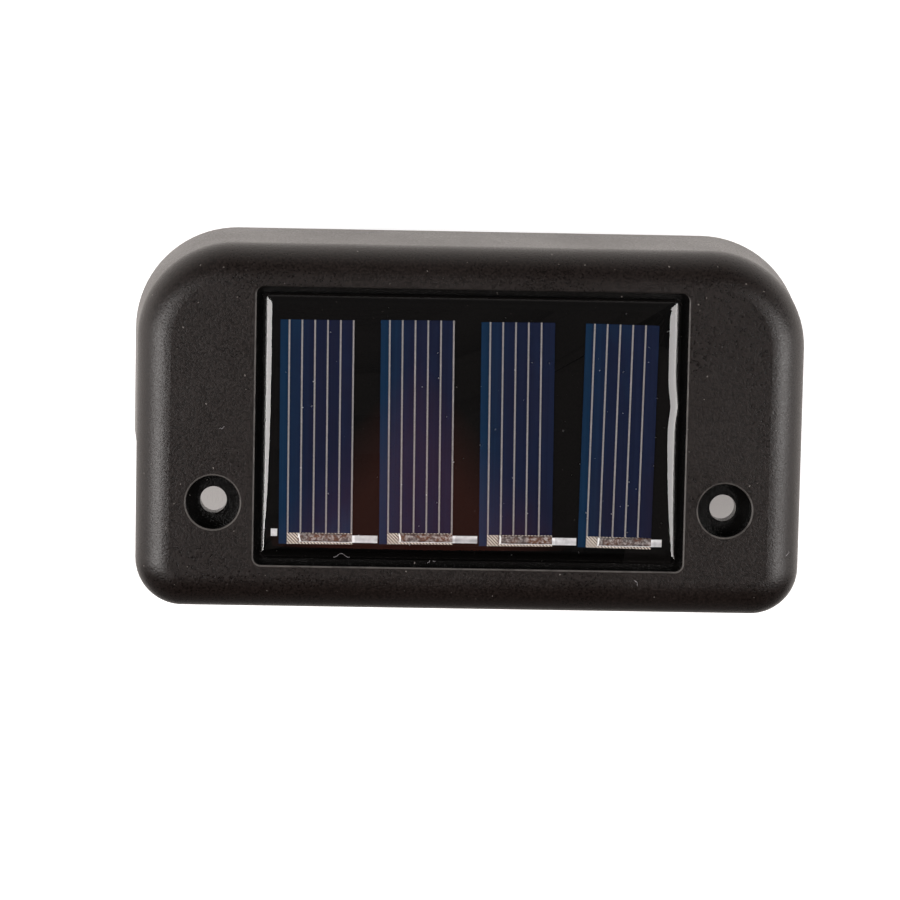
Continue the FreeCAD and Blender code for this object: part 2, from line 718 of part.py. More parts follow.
def finger_grid(number):
    """The printed silver fingers and the busbar that joins them, on one cell."""
    body = new_body("finger_grid_%d" % number)
    first = "(cell_width / 2 - first_finger)"
    level = CELL_TOP
    for index in range(FINGERS[number - 1]):
        middle = "(%s - %d * finger_pitch)" % (first, index)
        Drawing(body, offset=level).outline(
            *rectangle("(" + middle + " - finger_width / 2)", "(" + middle + " + finger_width / 2)",
                       "-cell_length / 2", "cell_length / 2")).pad("grid_thickness")
    Drawing(body, offset=level).outline(
        *rectangle("-cell_width / 2", "(" + first + " + finger_width / 2)",
                   "(cell_length / 2 - busbar_width)", "cell_length / 2")).pad("grid_thickness")
    return lay(body, number)


def ribbon_profile(body, start, drop, end):
    """Side view of a ribbon: on the busbar, then down to the board in the gap."""
    high = "(" + CELL_TOP + " + grid_thickness)"
    low = CELL_BOTTOM
    down = "(" + drop + " - ribbon_drop)"
    return Drawing(body, plane="XZ_Plane").polygon(
        (start, high), (drop, high), (down, low), (end, low),
        (end, low + " + ribbon_thickness"), (down + " + ribbon_edge", low + " + ribbon_thickness"),
        (drop + " + ribbon_edge", high + " + ribbon_thickness"), (start, high + " + ribbon_thickness"))


def busbar_middle(number):
    """Where a cell's busbar has its middle along X, for the cell's turn."""
    return ("(cell_place_%d - sin(cell_turn_%d) * (cell_length - busbar_width) / 2)"
            % (number, number))


def tab_ribbon(number):
    """The tinned ribbon from one cell's busbar to the edge of the next cell."""
    middle = busbar_middle(number)
    body = new_body("tab_ribbon_%d" % number)
    start = "(" + middle + " + cell_width / 2 - ribbon_start)"
    drop = "(" + middle + " - cell_width / 2 - ribbon_edge)"
    if number < len(FINGERS):
        end = "(" + busbar_middle(number + 1) + " + cell_width / 2 + ribbon_edge)"
    else:
        end = "(" + drop + " - ribbon_drop - ribbon_stub)"
    ribbon_profile(body, start, drop, end).pad("ribbon_width", both=True)
    body.setExpression("Placement.Base.y", bound(
        PANEL_MIDDLE + " + cell_shift_%d + (cell_length - busbar_width) / 2" % number))
    doc.recompute()
    return body


def start_tab():
    """The short tab that comes out from under the first cell."""
    body = new_body("start_tab")
    near = "(" + busbar_middle(1) + " + cell_width / 2 + ribbon_edge)"
    middle = "(" + PANEL_MIDDLE + " + cell_shift_1 + cell_length / 2 - busbar_width)"
    Drawing(body, offset=CELL_BOTTOM).outline(*rectangle(
        near, "(" + near + " + ribbon_stub)", "(" + middle + " - ribbon_width / 2)",
        "(" + middle + " + ribbon_width / 2)")).pad("ribbon_thickness")
    return body


def panel_resin(embedded):
    """The clear resin over the panel, cast round the cells and their ribbons."""
    block = new_body("resin_block")
    Drawing(block, offset=CELL_BOTTOM).outline(*panel_plan("0", "panel_corner")).pad(
        "resin_thickness")
    crown = value(CELL_BOTTOM + " + resin_thickness")
    dress(block, "Chamfer", edges_where(block, lambda edge: lies_at(edge, crown)), "resin_bevel")
    laid = doc.addObject("Part::Compound", "panel_pieces")
    laid.Links = embedded
    resin = doc.addObject("Part::Cut", "panel_resin")
    resin.Label = "panel_resin"
    resin.Base = block
    resin.Tool = laid
    doc.recompute()
    return resin


def battery():
    """A rechargeable cell of the AAA size, turned about its own axis."""
    body = new_body("battery", x="-battery_shift", y=BATTERY_Y, z=BATTERY_Z)
    half = "(battery_length / 2)"
    shoulder = "(battery_length / 2 - nub_height)"
    Drawing(body, plane="XZ_Plane").polygon(
        ("-" + half, "0"), (shoulder + " + nub_height", "0"),
        (shoulder + " + nub_height", "nub_diameter / 2"), (shoulder, "nub_diameter / 2"),
        (shoulder, "battery_diameter / 2"), ("-" + half, "battery_diameter / 2")).revolve()
    return body


def battery_holder():
    """The trough that holds the cell; its end walls take the contacts and the board's screws."""
    body = new_body("battery_holder", x="-battery_shift", y=BATTERY_Y)
    side = "(battery_diameter / 2 + holder_gap + holder_wall)"
    Drawing(body, offset=SOLE).outline(*rectangle(
        "-" + HOLDER_HALF, HOLDER_HALF, "-" + side, side)).pad(HOLDER_TOP + " - " + SOLE)
    inner = "(battery_length / 2 + contact_space)"
    bore = "(battery_diameter / 2 + holder_gap)"
    Drawing(body, plane="YZ_Plane").circle("0", BATTERY_Z, bore).pocket("2 * " + inner, both=True)
    Drawing(body, offset=HOLDER_TOP).outline(*rectangle("-" + inner, inner, "-" + bore, bore)).pocket(
        HOLDER_TOP + " - " + BATTERY_Z)
    Drawing(body, offset=HOLDER_TOP).pair(
        "(" + HOLDER_HALF + " - holder_end / 2)", "0", "small_screw_diameter / 2").pocket(
            "small_screw_length")
    return body


def contact_plan(body, width, low, high, thickness="contact_thickness"):
    """An upright strip against the holder's end wall."""
    Drawing(body, plane="YZ_Plane").outline(*rectangle(
        "-" + width + " / 2", width + " / 2", low, high)).pad(thickness)


def contact_positive():
    """The flat contact at the cell's nub, with a tail through the board."""
    body = new_body("contact_positive", y=BATTERY_Y,
                    x="(-battery_shift + battery_length / 2 + contact_space - contact_thickness)")
    reach = "(battery_diameter / 3)"
    contact_plan(body, "contact_width", "(" + BATTERY_Z + " - " + reach + ")",
                 "(" + BATTERY_Z + " + " + reach + ")")
    contact_plan(body, "tail_width", BATTERY_Z, "(" + BOARD_TOP + " + tail_rise)")
    Drawing(body, plane="YZ_Plane").circle("0", BATTERY_Z, "nub_diameter / 2").pad(
        "contact_space - contact_thickness", down=True)
    return body


def contact_negative():
    """The sprung leaf at the cell's flat end, with a tail through the board."""
    body = new_body("contact_negative", y=BATTERY_Y,
                    x="(-battery_shift - battery_length / 2 - contact_space)")
    reach = "(battery_diameter / 3)"
    contact_plan(body, "contact_width", "(" + BATTERY_Z + " - " + reach + ")",
                 "(" + BATTERY_Z + " + " + reach + ")")
    contact_plan(body, "tail_width", BATTERY_Z, "(" + BOARD_TOP + " + tail_rise)")
    low = "(" + BATTERY_Z + " - " + reach + ")"
    Drawing(body, plane="XZ_Plane").polygon(
        ("0", low), ("contact_thickness", low),
        ("contact_space", BATTERY_Z), ("contact_space", BATTERY_Z + " + contact_thickness"),
        ("contact_space - contact_thickness", BATTERY_Z + " + contact_thickness"),
        ("0", low + " + contact_thickness")).pad("contact_width / 2", both=True)
    return body


def control_board():
    """The driver's board, on top of the holder, slotted for the contacts' tails."""
    body = new_body("control_board", x="-battery_shift", y=BATTERY_Y)
    side = "(battery_diameter / 2 + holder_gap + holder_wall - board_inset)"
    end = "(" + HOLDER_HALF + " - board_inset)"
    Drawing(body, offset=HOLDER_TOP).outline(*rectangle("-" + end, end, "-" + side, side)).pad(
        "board_thickness")
    outer = "(battery_length / 2 + contact_space + fit_gap)"
    inner = "(battery_length / 2 + contact_space - contact_thickness - fit_gap)"
    half = "(tail_width / 2 + fit_gap)"
    Drawing(body, offset=HOLDER_TOP).outline(*rectangle(inner, outer, "-" + half, half)).outline(
        *rectangle("-" + outer, "-" + inner, "-" + half, half)).pocket("board_thickness", up=True)
    Drawing(body, offset=HOLDER_TOP).pair(
        "(" + HOLDER_HALF + " - holder_end / 2)", "0",
        "small_screw_diameter / 2 + fit_gap").pocket("board_thickness", up=True)
    return body


def driver_chip():
    """The charge and light controller, with two rows of leads."""
    body = new_body("driver_chip", x="(-battery_shift - chip_place)", y=BATTERY_Y, z=BOARD_TOP)
    Drawing(body, offset="(chip_height / 5)").outline(*rectangle(
        "-chip_length / 2", "chip_length / 2", "-chip_width / 2", "chip_width / 2")).pad(
            "chip_height * 4 / 5")
    top = value("chip_height")
    dress(body, "Chamfer", edges_where(body, lambda edge: lies_at(edge, top)), "chip_height / 8")
    for index in (-1, 0, 1):
        Drawing(body).outline(*rectangle(
            "(%d * chip_length / 3 - lead_diameter / 2)" % index,
            "(%d * chip_length / 3 + lead_diameter / 2)" % index,
            "(-chip_width / 2 - lead_diameter)", "(chip_width / 2 + lead_diameter)")).pad(
                "chip_height / 3")
    return body


def inductor():
    """The axial inductor, with its leads bent down to the board."""
    body = new_body("inductor", x="(-battery_shift - inductor_place)", y=BATTERY_Y,
                    z="(" + BOARD_TOP + " + inductor_diameter / 2)")
    Drawing(body, plane="YZ_Plane").circle("0", "0", "inductor_diameter / 2").pad(
        "inductor_length", both=True)
    end = "(inductor_length / 2 + lead_diameter * 3)"
    thin = "(lead_diameter / 2)"
    Drawing(body).outline(*rectangle("-" + end, end, "-" + thin, thin)).pad(
        "lead_diameter", both=True)
    Drawing(body, offset="(-inductor_diameter / 2)").outline(*rectangle(
        "(" + end + " - lead_diameter)", end, "-" + thin, thin)).outline(*rectangle(
            "-" + end, "(lead_diameter - " + end + ")", "-" + thin, thin)).pad(
                "inductor_diameter / 2")
    return body


def switch_body():
    """The slide switch: a hollow case on a slotted plate with screw ears, and three pins."""
    body = new_body("switch_body", x="switch_place", y=BATTERY_Y, z=SWITCH_SEAT)
    ear = "(ear_length / 2)"
    side = "(switch_width / 2)"
    Drawing(body).outline(*rectangle("-" + ear, ear, "-" + side, side)).pad("switch_plate")
    case = "(switch_length / 2)"
    Drawing(body).outline(*rectangle("-" + case, case, "-" + side, side)).pad("switch_height")
    room = "(foot_length / 2 + knob_travel / 2 + slide_gap)"
    wide = "(foot_width / 2 + slide_gap)"
    Drawing(body, plane="XZ_Plane").outline(*rectangle(
        "-" + room, room, "switch_plate", "(switch_plate + foot_height + 2 * slide_gap)")).pocket(
            "2 * " + wide, both=True)
    slot = "(knob_length / 2 + knob_travel / 2 + slide_gap)"
    breadth = "(knob_width / 2 + slide_gap)"
    Drawing(body).outline(*rectangle("-" + slot, slot, "-" + breadth, breadth)).pocket(
        "2 * switch_plate", up=True)
    Drawing(body).pair(EAR_HOLE, "0", "small_screw_diameter / 2 + fit_gap").pocket(
        "switch_plate", up=True)
    pins = Drawing(body, offset="switch_height")
    for place in ("-pin_pitch", "0", "pin_pitch"):
        pins.outline(*rectangle("(" + place + " - lead_diameter / 2)",
                                "(" + place + " + lead_diameter / 2)",
                                "-lead_diameter / 4", "lead_diameter / 4"))
    pins.pad("pin_length")
    return body


def switch_knob():
    """The slider: its foot runs in the switch, its tip reaches into the well in the sole."""
    body = new_body("switch_knob", x="(switch_place - knob_travel / 2)", y=BATTERY_Y, z=SWITCH_SEAT)
    reach = "(well_floor + well_depth - knob_recess)"
    length = "(knob_length / 2)"
    width = "(knob_width / 2)"
    Drawing(body, offset="-" + reach).outline(*rectangle("-" + length, length, "-" + width, width)
                                              ).pad(reach + " + switch_plate + 2 * slide_gap")
    foot = "(foot_length / 2)"
    breadth = "(foot_width / 2)"
    Drawing(body, offset="(switch_plate + slide_gap)").outline(*rectangle(
        "-" + foot, foot, "-" + breadth, breadth)).pad("foot_height")
    tip = value("-" + reach)
    dress(body, "Chamfer", edges_where(body, lambda edge: lies_at(edge, tip)), "slide_gap")
    return body


def screw_profile(body, diameter, length, countersunk=False):
    """Half the outline of a screw, turned: its head seats at z = 0 and its shank points up."""
    radius = "(" + diameter + " / 2)"
    wide = "(" + diameter + " / 2 * head_ratio)"
    if countersunk:
        corners = (("0", "0"), (wide, "0"), (radius, "(" + wide + " - " + radius + ")"),
                   (radius, length), ("0", length))
    else:
        corners = (("0", "-head_height"), (wide, "-head_height"), (wide, "0"), (radius, "0"),
                   (radius, length), ("0", length))
    Drawing(body, plane="XZ_Plane").polygon(*corners).revolve("V_Axis")


def leg_screw(number, side):
    """A screw from the leg's sole up into the hood's long boss."""
    seat = "(" + POST_TOP + " - leg_post_wall)"
    body = new_body("leg_screw_%d" % number, x="(%d * " % side + LEG_SCREW_X + ")",
                    y=LEG_SCREW_Y, z=seat)
    screw_profile(body, "leg_screw_diameter", "leg_screw_length")
    return body


def flange_screw(number, side):
    """A countersunk screw through the flange plate into the hood."""
    body = new_body("flange_screw_%d" % number, x="(%d * flange_screw_spacing / 2)" % side,
                    y=FLANGE_SCREW_Y)
    screw_profile(body, "flange_screw_diameter", "flange_screw_length", countersunk=True)
    return body


def small_screws(label, x, z, spacing):
    """Two small screws, side by side, that go down into what carries them."""
    body = new_body(label, x=x, y=BATTERY_Y, z=z)
    radius = "(small_screw_diameter / 2)"
    wide = "(small_screw_diameter / 2 * head_ratio)"
    for side in ("-", ""):
        far = side + spacing + " / 2"
        Drawing(body).circle(far, "0", wide).pad("small_head_height")
        Drawing(body).circle(far, "0", radius).pad("small_screw_length", down=True)
    return body


def wire(label, plane, offset, profile_height, profile_place, *corners):
    """A round wire along a route in one plane, mitred at its bends."""
    body = new_body(label)
    route = Drawing(body, plane=plane, offset=offset).chain(*corners)
    profile = Drawing(body, offset=profile_height).circle(
        profile_place[0], profile_place[1], "wire_diameter / 2")
    doc.recompute()
    pipe = body.newObject("PartDesign::AdditivePipe", label + "_pipe")
    pipe.Profile = profile.sketch
    pipe.Spine = (route.sketch, ["Edge%d" % (n + 1) for n in range(len(corners) - 1)])
    pipe.Transition = "Right corner"
    route.sketch.Visibility = False
    profile.finish(pipe)
    return body


def panel_wires():
    """Two wires from the panel, through the recess floor, down to the control board."""
    made = []
    for label, sign in (("panel_wire_red", ""), ("panel_wire_black", "-")):
        near = sign + "(wire_hole / 4)"
        far = sign + "panel_wire_fan"
        made.append(wire(
            label, "XZ_Plane", "-" + BATTERY_Y, PANEL_BOTTOM, (near, BATTERY_Y),
            (near, PANEL_BOTTOM), (near, "(" + ROOF + " - 2 * wire_bend)"),
            (far, "(" + BOARD_TOP + " + 2 * wire_bend)"), (far, BOARD_TOP)))
    return made


def light_wires():
    """Two wires from the control board to the light board."""
    made = []
    rise = "(-light_drop + light_board_height / 4)"
    board = "(" + REFLECTOR_BACK + " + board_thickness)"
    landing = "(" + board + " + wire_bend + wire_diameter / 2)"
    beside = "(-battery_shift - chip_place - chip_length"
    for label, place in (("light_wire_red", beside + ")"),
                         ("light_wire_black", beside + " - 2 * wire_diameter)")):
        made.append(wire(
            label, "YZ_Plane", place, BOARD_TOP, (place, landing),
            (landing, BOARD_TOP), (landing, "(" + rise + " - wire_bend / 2)"),
            ("(" + landing + " - wire_bend / 2)", rise), (board, rise)))
    return made


def switch_wires():
    """Two wires that arch from the switch pins over to the control board."""
    made = []
    pin_top = "(" + SWITCH_SEAT + " + switch_height + pin_length)"
    landing = "(-battery_shift + " + HOLDER_HALF + " - holder_end - contact_space)"
    for label, pin, reach in (("switch_wire_red", "-pin_pitch", "wire_diameter"),
                              ("switch_wire_black", "0", "(3 * wire_diameter)")):
        start = "(switch_place + " + pin + ")"
        end = "(" + landing + " - " + reach + ")"
        crest = "(" + BOARD_TOP + " + wire_bend + " + reach + ")"
        made.append(wire(
            label, "XZ_Plane", "-" + BATTERY_Y, pin_top, (start, BATTERY_Y),
            (start, pin_top), (start, "(" + crest + " - wire_bend)"),
            ("(" + start + " - wire_bend)", crest), ("(" + end + " + wire_bend)", crest),
            (end, "(" + crest + " - wire_bend)"), (end, BOARD_TOP)))
    return made


def solar_panel():
    """The panel's pieces: board, cells, grids, ribbons and the resin over them."""
    laid = []
    for number in range(1, len(FINGERS) + 1):
        laid += [solar_cell(number), finger_grid(number), tab_ribbon(number)]
    laid.append(start_tab())
    return [panel_adhesive(), panel_board()] + laid + [panel_resin(laid)]


def screws():
    made = [leg_screw(1, -1), leg_screw(2, 1), flange_screw(1, -1), flange_screw(2, 1)]
    made.append(small_screws("holder_screws", "-battery_shift", BOARD_TOP,
                             "(2 * " + HOLDER_HALF + " - holder_end)"))
    made.append(small_screws("switch_screws", "switch_place",
                             "(" + SWITCH_SEAT + " + switch_plate)", "(2 * " + EAR_HOLE + ")"))
    return made


def build():
    nodes = [top_housing(), base_cover(), flange_gasket(), lens_diffuser()]
    nodes += solar_panel()
    nodes += [reflector(), light_board()] + [light_diode(index) for index in (-1, 0, 1)]
    nodes += [battery(), battery_holder(), contact_positive(), contact_negative()]
    nodes += [control_board(), driver_chip(), inductor(), switch_body(), switch_knob()]
    nodes += screws() + panel_wires() + light_wires() + switch_wires()
    doc.recompute()
    return nodes


def check(nodes):
    """Stops the run if any object failed or any node has no good solid."""
    failed = [item.Name for item in doc.Objects
              if "Invalid" in item.State or "Error" in item.State]
    if failed:
        raise RuntimeError("failed: " + ", ".join(failed))
    for node in nodes:
        if node.Shape.isNull() or not node.Shape.isValid() or not node.Shape.Solids:
            raise RuntimeError("no good solid: " + node.Label)


fill_sheet()
parts = build()
check(parts)
os.makedirs("parts", exist_ok=True)
for part in parts:
    part.Shape.exportStep("parts/" + part.Label + ".step")
print("pieces:", len(parts))
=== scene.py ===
import bpy
import bmesh
import json
import math
import random
from mathutils import Matrix, Vector

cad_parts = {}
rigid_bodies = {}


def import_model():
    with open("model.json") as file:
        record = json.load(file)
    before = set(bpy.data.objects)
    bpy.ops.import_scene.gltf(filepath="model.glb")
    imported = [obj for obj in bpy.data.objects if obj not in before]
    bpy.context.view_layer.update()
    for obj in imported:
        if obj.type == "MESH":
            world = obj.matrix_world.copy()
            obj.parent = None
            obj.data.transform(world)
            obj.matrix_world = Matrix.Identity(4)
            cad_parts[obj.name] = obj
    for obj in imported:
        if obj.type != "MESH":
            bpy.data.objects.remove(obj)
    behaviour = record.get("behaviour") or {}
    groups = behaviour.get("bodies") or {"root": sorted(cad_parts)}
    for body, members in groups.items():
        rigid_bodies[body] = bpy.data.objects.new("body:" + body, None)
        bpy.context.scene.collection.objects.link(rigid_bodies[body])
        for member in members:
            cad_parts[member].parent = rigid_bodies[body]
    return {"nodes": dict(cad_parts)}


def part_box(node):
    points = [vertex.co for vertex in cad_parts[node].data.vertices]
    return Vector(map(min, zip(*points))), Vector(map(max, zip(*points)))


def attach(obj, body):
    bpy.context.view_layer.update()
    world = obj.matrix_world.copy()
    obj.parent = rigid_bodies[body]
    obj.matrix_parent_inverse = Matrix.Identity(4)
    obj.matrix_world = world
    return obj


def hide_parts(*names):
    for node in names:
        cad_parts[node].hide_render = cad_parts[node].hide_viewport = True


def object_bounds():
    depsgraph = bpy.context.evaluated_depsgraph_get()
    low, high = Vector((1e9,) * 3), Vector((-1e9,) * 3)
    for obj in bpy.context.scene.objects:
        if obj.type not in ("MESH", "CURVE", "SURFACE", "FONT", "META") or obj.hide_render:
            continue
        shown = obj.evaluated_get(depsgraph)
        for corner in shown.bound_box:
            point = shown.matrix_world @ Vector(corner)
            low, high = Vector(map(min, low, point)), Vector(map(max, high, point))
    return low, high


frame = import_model()
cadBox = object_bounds()
nodes = frame["nodes"]
random.seed(7)
scene = bpy.context.scene
scene.view_settings.view_transform = "Standard"
mm = 0.001
print("frame loaded:", len(nodes), "nodes")


# camera: the photograph looks down on the solar face, its top side is the lit front
view = {
    "place": (0.020, -0.078, 0.607),
    "aim": (0.0032, -0.0089, 0.007),
    "roll": 1.16,
    "focalPixels": 3860,
    "framePixels": 900,
    "sensor": 36.0,
}


def makeCamera():
    data = bpy.data.cameras.new("photoCamera")
    data.sensor_width = view["sensor"]
    data.lens = view["focalPixels"] / view["framePixels"] * view["sensor"]
    camera = bpy.data.objects.new("photoCamera", data)
    scene.collection.objects.link(camera)
    place, aim = Vector(view["place"]), Vector(view["aim"])
    back = (place - aim).normalized()
    side = Vector((0, -1, 0)).cross(back).normalized()
    top = back.cross(side)
    turn = math.radians(view["roll"])
    right = math.cos(turn) * side + math.sin(turn) * top
    up = math.cos(turn) * top - math.sin(turn) * side
    rows = [(right[i], up[i], back[i], place[i]) for i in range(3)]
    camera.matrix_world = Matrix(rows + [(0, 0, 0, 1)])
    scene.camera = camera


makeCamera()
print("camera set")


# node helpers
def addNode(tree, kind, inputs=None, **settings):
    node = tree.nodes.new(kind)
    for name, value in settings.items():
        setattr(node, name, value)
    for name, value in (inputs or {}).items():
        if isinstance(value, bpy.types.NodeSocket):
            tree.links.new(value, node.inputs[name])
        else:
            node.inputs[name].default_value = value
    return node


def addMath(tree, operation, first, second=0.0):
    return addNode(tree, "ShaderNodeMath", {0: first, 1: second}, operation=operation).outputs[0]


def addRange(tree, value, low, high, toLow=0.0, toHigh=1.0):
    return addNode(tree, "ShaderNodeMapRange", {"Value": value, "From Min": low, "From Max": high,
                                                "To Min": toLow, "To Max": toHigh}).outputs["Result"]


def addMix(tree, share, first, second):
    return addNode(tree, "ShaderNodeMix", {0: share, 6: first, 7: second}, data_type="RGBA").outputs[2]


def addScale(tree, colour, share):
    return addNode(tree, "ShaderNodeVectorMath", {0: colour, "Scale": share}, operation="SCALE").outputs[0]


def splitUp(tree, vector):
    return addNode(tree, "ShaderNodeSeparateXYZ", {0: vector}).outputs


def addNoise(tree, place, scale, detail=2.0, roughness=0.5):
    return addNode(tree, "ShaderNodeTexNoise", {"Vector": place, "Scale": scale, "Detail": detail,
                                                "Roughness": roughness}).outputs["Fac"]


def stretched(tree, place, scale):
    return addNode(tree, "ShaderNodeMapping", {"Vector": place, "Scale": scale}).outputs["Vector"]


def objectPlace(tree):
    return addNode(tree, "ShaderNodeTexCoord").outputs["Object"]


def newGroup(name, inputs, outputs):
    group = bpy.data.node_groups.new(name, "ShaderNodeTree")
    for title, kind, value in inputs:
        socket = group.interface.new_socket(title, in_out="INPUT", socket_type="NodeSocket" + kind)
        socket.default_value = value
    for title, kind in outputs:
        group.interface.new_socket(title, in_out="OUTPUT", socket_type="NodeSocket" + kind)
    return group, group.nodes.new("NodeGroupInput").outputs, group.nodes.new("NodeGroupOutput").inputs


def useGroup(tree, group, **values):
    node = addNode(tree, "ShaderNodeGroup", node_tree=group)
    for name, value in values.items():
        socket = node.inputs[name[:1].upper() + name[1:]]
        if isinstance(value, bpy.types.NodeSocket):
            tree.links.new(value, socket)
        else:
            socket.default_value = (*value, 1.0) if isinstance(value, tuple) else value
    return node.outputs


# shared surface effects
skinShape = {
    "cloudScale": 55.0,        # large soft mottle
    "grainLow": 0.38,          # noise values at which the speckle is darkest and lightest
    "grainHigh": 0.62,
    "darkest": 0.2,
    "cloudRoughness": 0.04,
    "grainRoughness": 0.11,
    "relief": 0.06 * mm,
}


def makeMouldedSkin():
    group, given, result = newGroup("mouldedSkin", [
        ("Colour", "Color", (0.02, 0.02, 0.02, 1)), ("Grain", "Float", 4200.0), ("Mottle", "Float", 0.15),
        ("Speckle", "Float", 0.5), ("Roughness", "Float", 0.5)],
        [("Colour", "Color"), ("Roughness", "Float"), ("Height", "Float")])
    place = objectPlace(group)
    grain = addNoise(group, place, given["Grain"], 4.0, 0.65)
    cloud = addNoise(group, place, skinShape["cloudScale"], 4.0, 0.6)
    shade = addMath(group, "MULTIPLY", addMath(group, "SUBTRACT", cloud, 0.5), given["Mottle"])
    spots = addRange(group, grain, skinShape["grainLow"], skinShape["grainHigh"], -1.0, 1.0)
    spots = addMath(group, "MULTIPLY", spots, given["Speckle"])
    shade = addMath(group, "ADD", addMath(group, "ADD", shade, 1.0), spots)
    shade = addMath(group, "MAXIMUM", shade, skinShape["darkest"])
    tinted = addScale(group, given["Colour"], shade)
    group.links.new(tinted, result["Colour"])
    rough = addRange(group, cloud, 0.3, 0.7, -skinShape["cloudRoughness"], skinShape["cloudRoughness"])
    rough = addMath(group, "ADD", given["Roughness"], rough)
    fine = addMath(group, "MULTIPLY", spots, skinShape["grainRoughness"])
    group.links.new(addMath(group, "ADD", rough, fine), result["Roughness"])
    group.links.new(grain, result["Height"])
    return group


def makeRimLine():
    # distance from a rounded rectangle in plan: a line along it, which carries a painted highlight, and what
    # lies inside it, which carries painted shade
    group, given, result = newGroup("rimLine", [
        ("Middle X", "Float", 0.0), ("Middle Y", "Float", 0.0),
        ("Half X", "Float", 0.01), ("Half Y", "Float", 0.01),
        ("Corner", "Float", 0.001), ("Width", "Float", 0.0002), ("Bottom", "Float", 0.0)],
        [("Line", "Float"), ("Inside", "Float")])
    spot = splitUp(group, objectPlace(group))
    past = []
    for axis in "XY":
        away = addMath(group, "ABSOLUTE", addMath(group, "SUBTRACT", spot[axis], given["Middle " + axis]))
        straight = addMath(group, "SUBTRACT", given["Half " + axis], given["Corner"])
        past.append(addMath(group, "SUBTRACT", away, straight))
    outer = [addMath(group, "MAXIMUM", part, 0.0) for part in past]
    reach = addMath(group, "SQRT", addMath(group, "ADD", addMath(group, "MULTIPLY", outer[0], outer[0]),
                                           addMath(group, "MULTIPLY", outer[1], outer[1])))
    depth = addMath(group, "MINIMUM", addMath(group, "MAXIMUM", *past), 0.0)
    gap = addMath(group, "SUBTRACT", addMath(group, "ADD", reach, depth), given["Corner"])
    near = addMath(group, "DIVIDE", addMath(group, "ABSOLUTE", gap), given["Width"])
    upper = addRange(group, spot["Z"], 5.0 * mm, 5.2 * mm)
    group.links.new(addMath(group, "MULTIPLY", addRange(group, near, 1.0, 0.6), upper), result["Line"])
    above = addMath(group, "GREATER_THAN", spot["Z"], given["Bottom"])
    within = addRange(group, gap, 0.02 * mm, -0.04 * mm)
    group.links.new(addMath(group, "MULTIPLY", within, above), result["Inside"])
    return group


def makeDust():
    group, given, result = newGroup("dustSpecks", [
        ("Size", "Float", 0.1), ("Spread", "Float", 800.0), ("Amount", "Float", 0.3)],
        [("Mask", "Float")])
    place = objectPlace(group)
    wobble = addNode(group, "ShaderNodeTexNoise", {"Vector": place, "Scale": 2600.0}).outputs["Color"]
    bent = addNode(group, "ShaderNodeVectorMath", {0: wobble, 1: (0.6 * mm,) * 3, 2: place},
                   operation="MULTIPLY_ADD").outputs[0]
    cells = addNode(group, "ShaderNodeTexVoronoi", {"Vector": bent, "Scale": given["Spread"]})
    luck = addNode(group, "ShaderNodeSeparateColor", {0: cells.outputs["Color"]})
    limit = addMath(group, "MULTIPLY", given["Size"], luck.outputs[1])
    speck = addMath(group, "LESS_THAN", cells.outputs["Distance"], limit)
    chosen = addMath(group, "LESS_THAN", luck.outputs[0], given["Amount"])
    group.links.new(addMath(group, "MULTIPLY", speck, chosen), result["Mask"])
    return group


def makeMetalSkin():
    group, given, result = newGroup("metalSkin", [
        ("Colour", "Color", (0.6, 0.6, 0.6, 1)), ("Tarnish", "Color", (0.3, 0.25, 0.2, 1)),
        ("Stain", "Float", 0.3), ("Grain", "Float", 3000.0), ("Roughness", "Float", 0.3)],
        [("Colour", "Color"), ("Roughness", "Float"), ("Height", "Float")])
    place = objectPlace(group)
    fine = addNoise(group, place, given["Grain"], 3.0, 0.6)
    patch = addRange(group, addNoise(group, place, 700.0, 4.0, 0.65), 0.38, 0.66)
    stain = addMath(group, "MULTIPLY", patch, given["Stain"])
    group.links.new(addMix(group, stain, given["Colour"], given["Tarnish"]), result["Colour"])
    rough = addMath(group, "ADD", given["Roughness"], addRange(group, fine, 0.3, 0.7, -0.08, 0.12))
    group.links.new(addMath(group, "ADD", rough, addMath(group, "MULTIPLY", stain, 0.2)), result["Roughness"])
    group.links.new(fine, result["Height"])
    return group


mouldedSkin, rimLine, dustSpecks, metalSkin = makeMouldedSkin(), makeRimLine(), makeDust(), makeMetalSkin()
finishes = {}


def newFinish(name, **constants):
    material = bpy.data.materials.new(name)
    material.use_nodes = True
    tree = material.node_tree
    shader = tree.nodes["Principled BSDF"]
    for title, value in constants.items():
        socket = shader.inputs[{"ior": "IOR", "specular": "Specular IOR Level", "metallic": "Metallic",
                                "transmission": "Transmission Weight", "coat": "Coat Weight",
                                "coatRoughness": "Coat Roughness", "sheen": "Sheen Weight",
                                "subsurface": "Subsurface Weight", "roughness": "Roughness"}[title]]
        socket.default_value = value
    return material, tree, shader


def addBump(tree, shader, height, strength, distance):
    bump = addNode(tree, "ShaderNodeBump", {"Height": height, "Strength": strength, "Distance": distance})
    tree.links.new(bump.outputs[0], shader.inputs["Normal"])


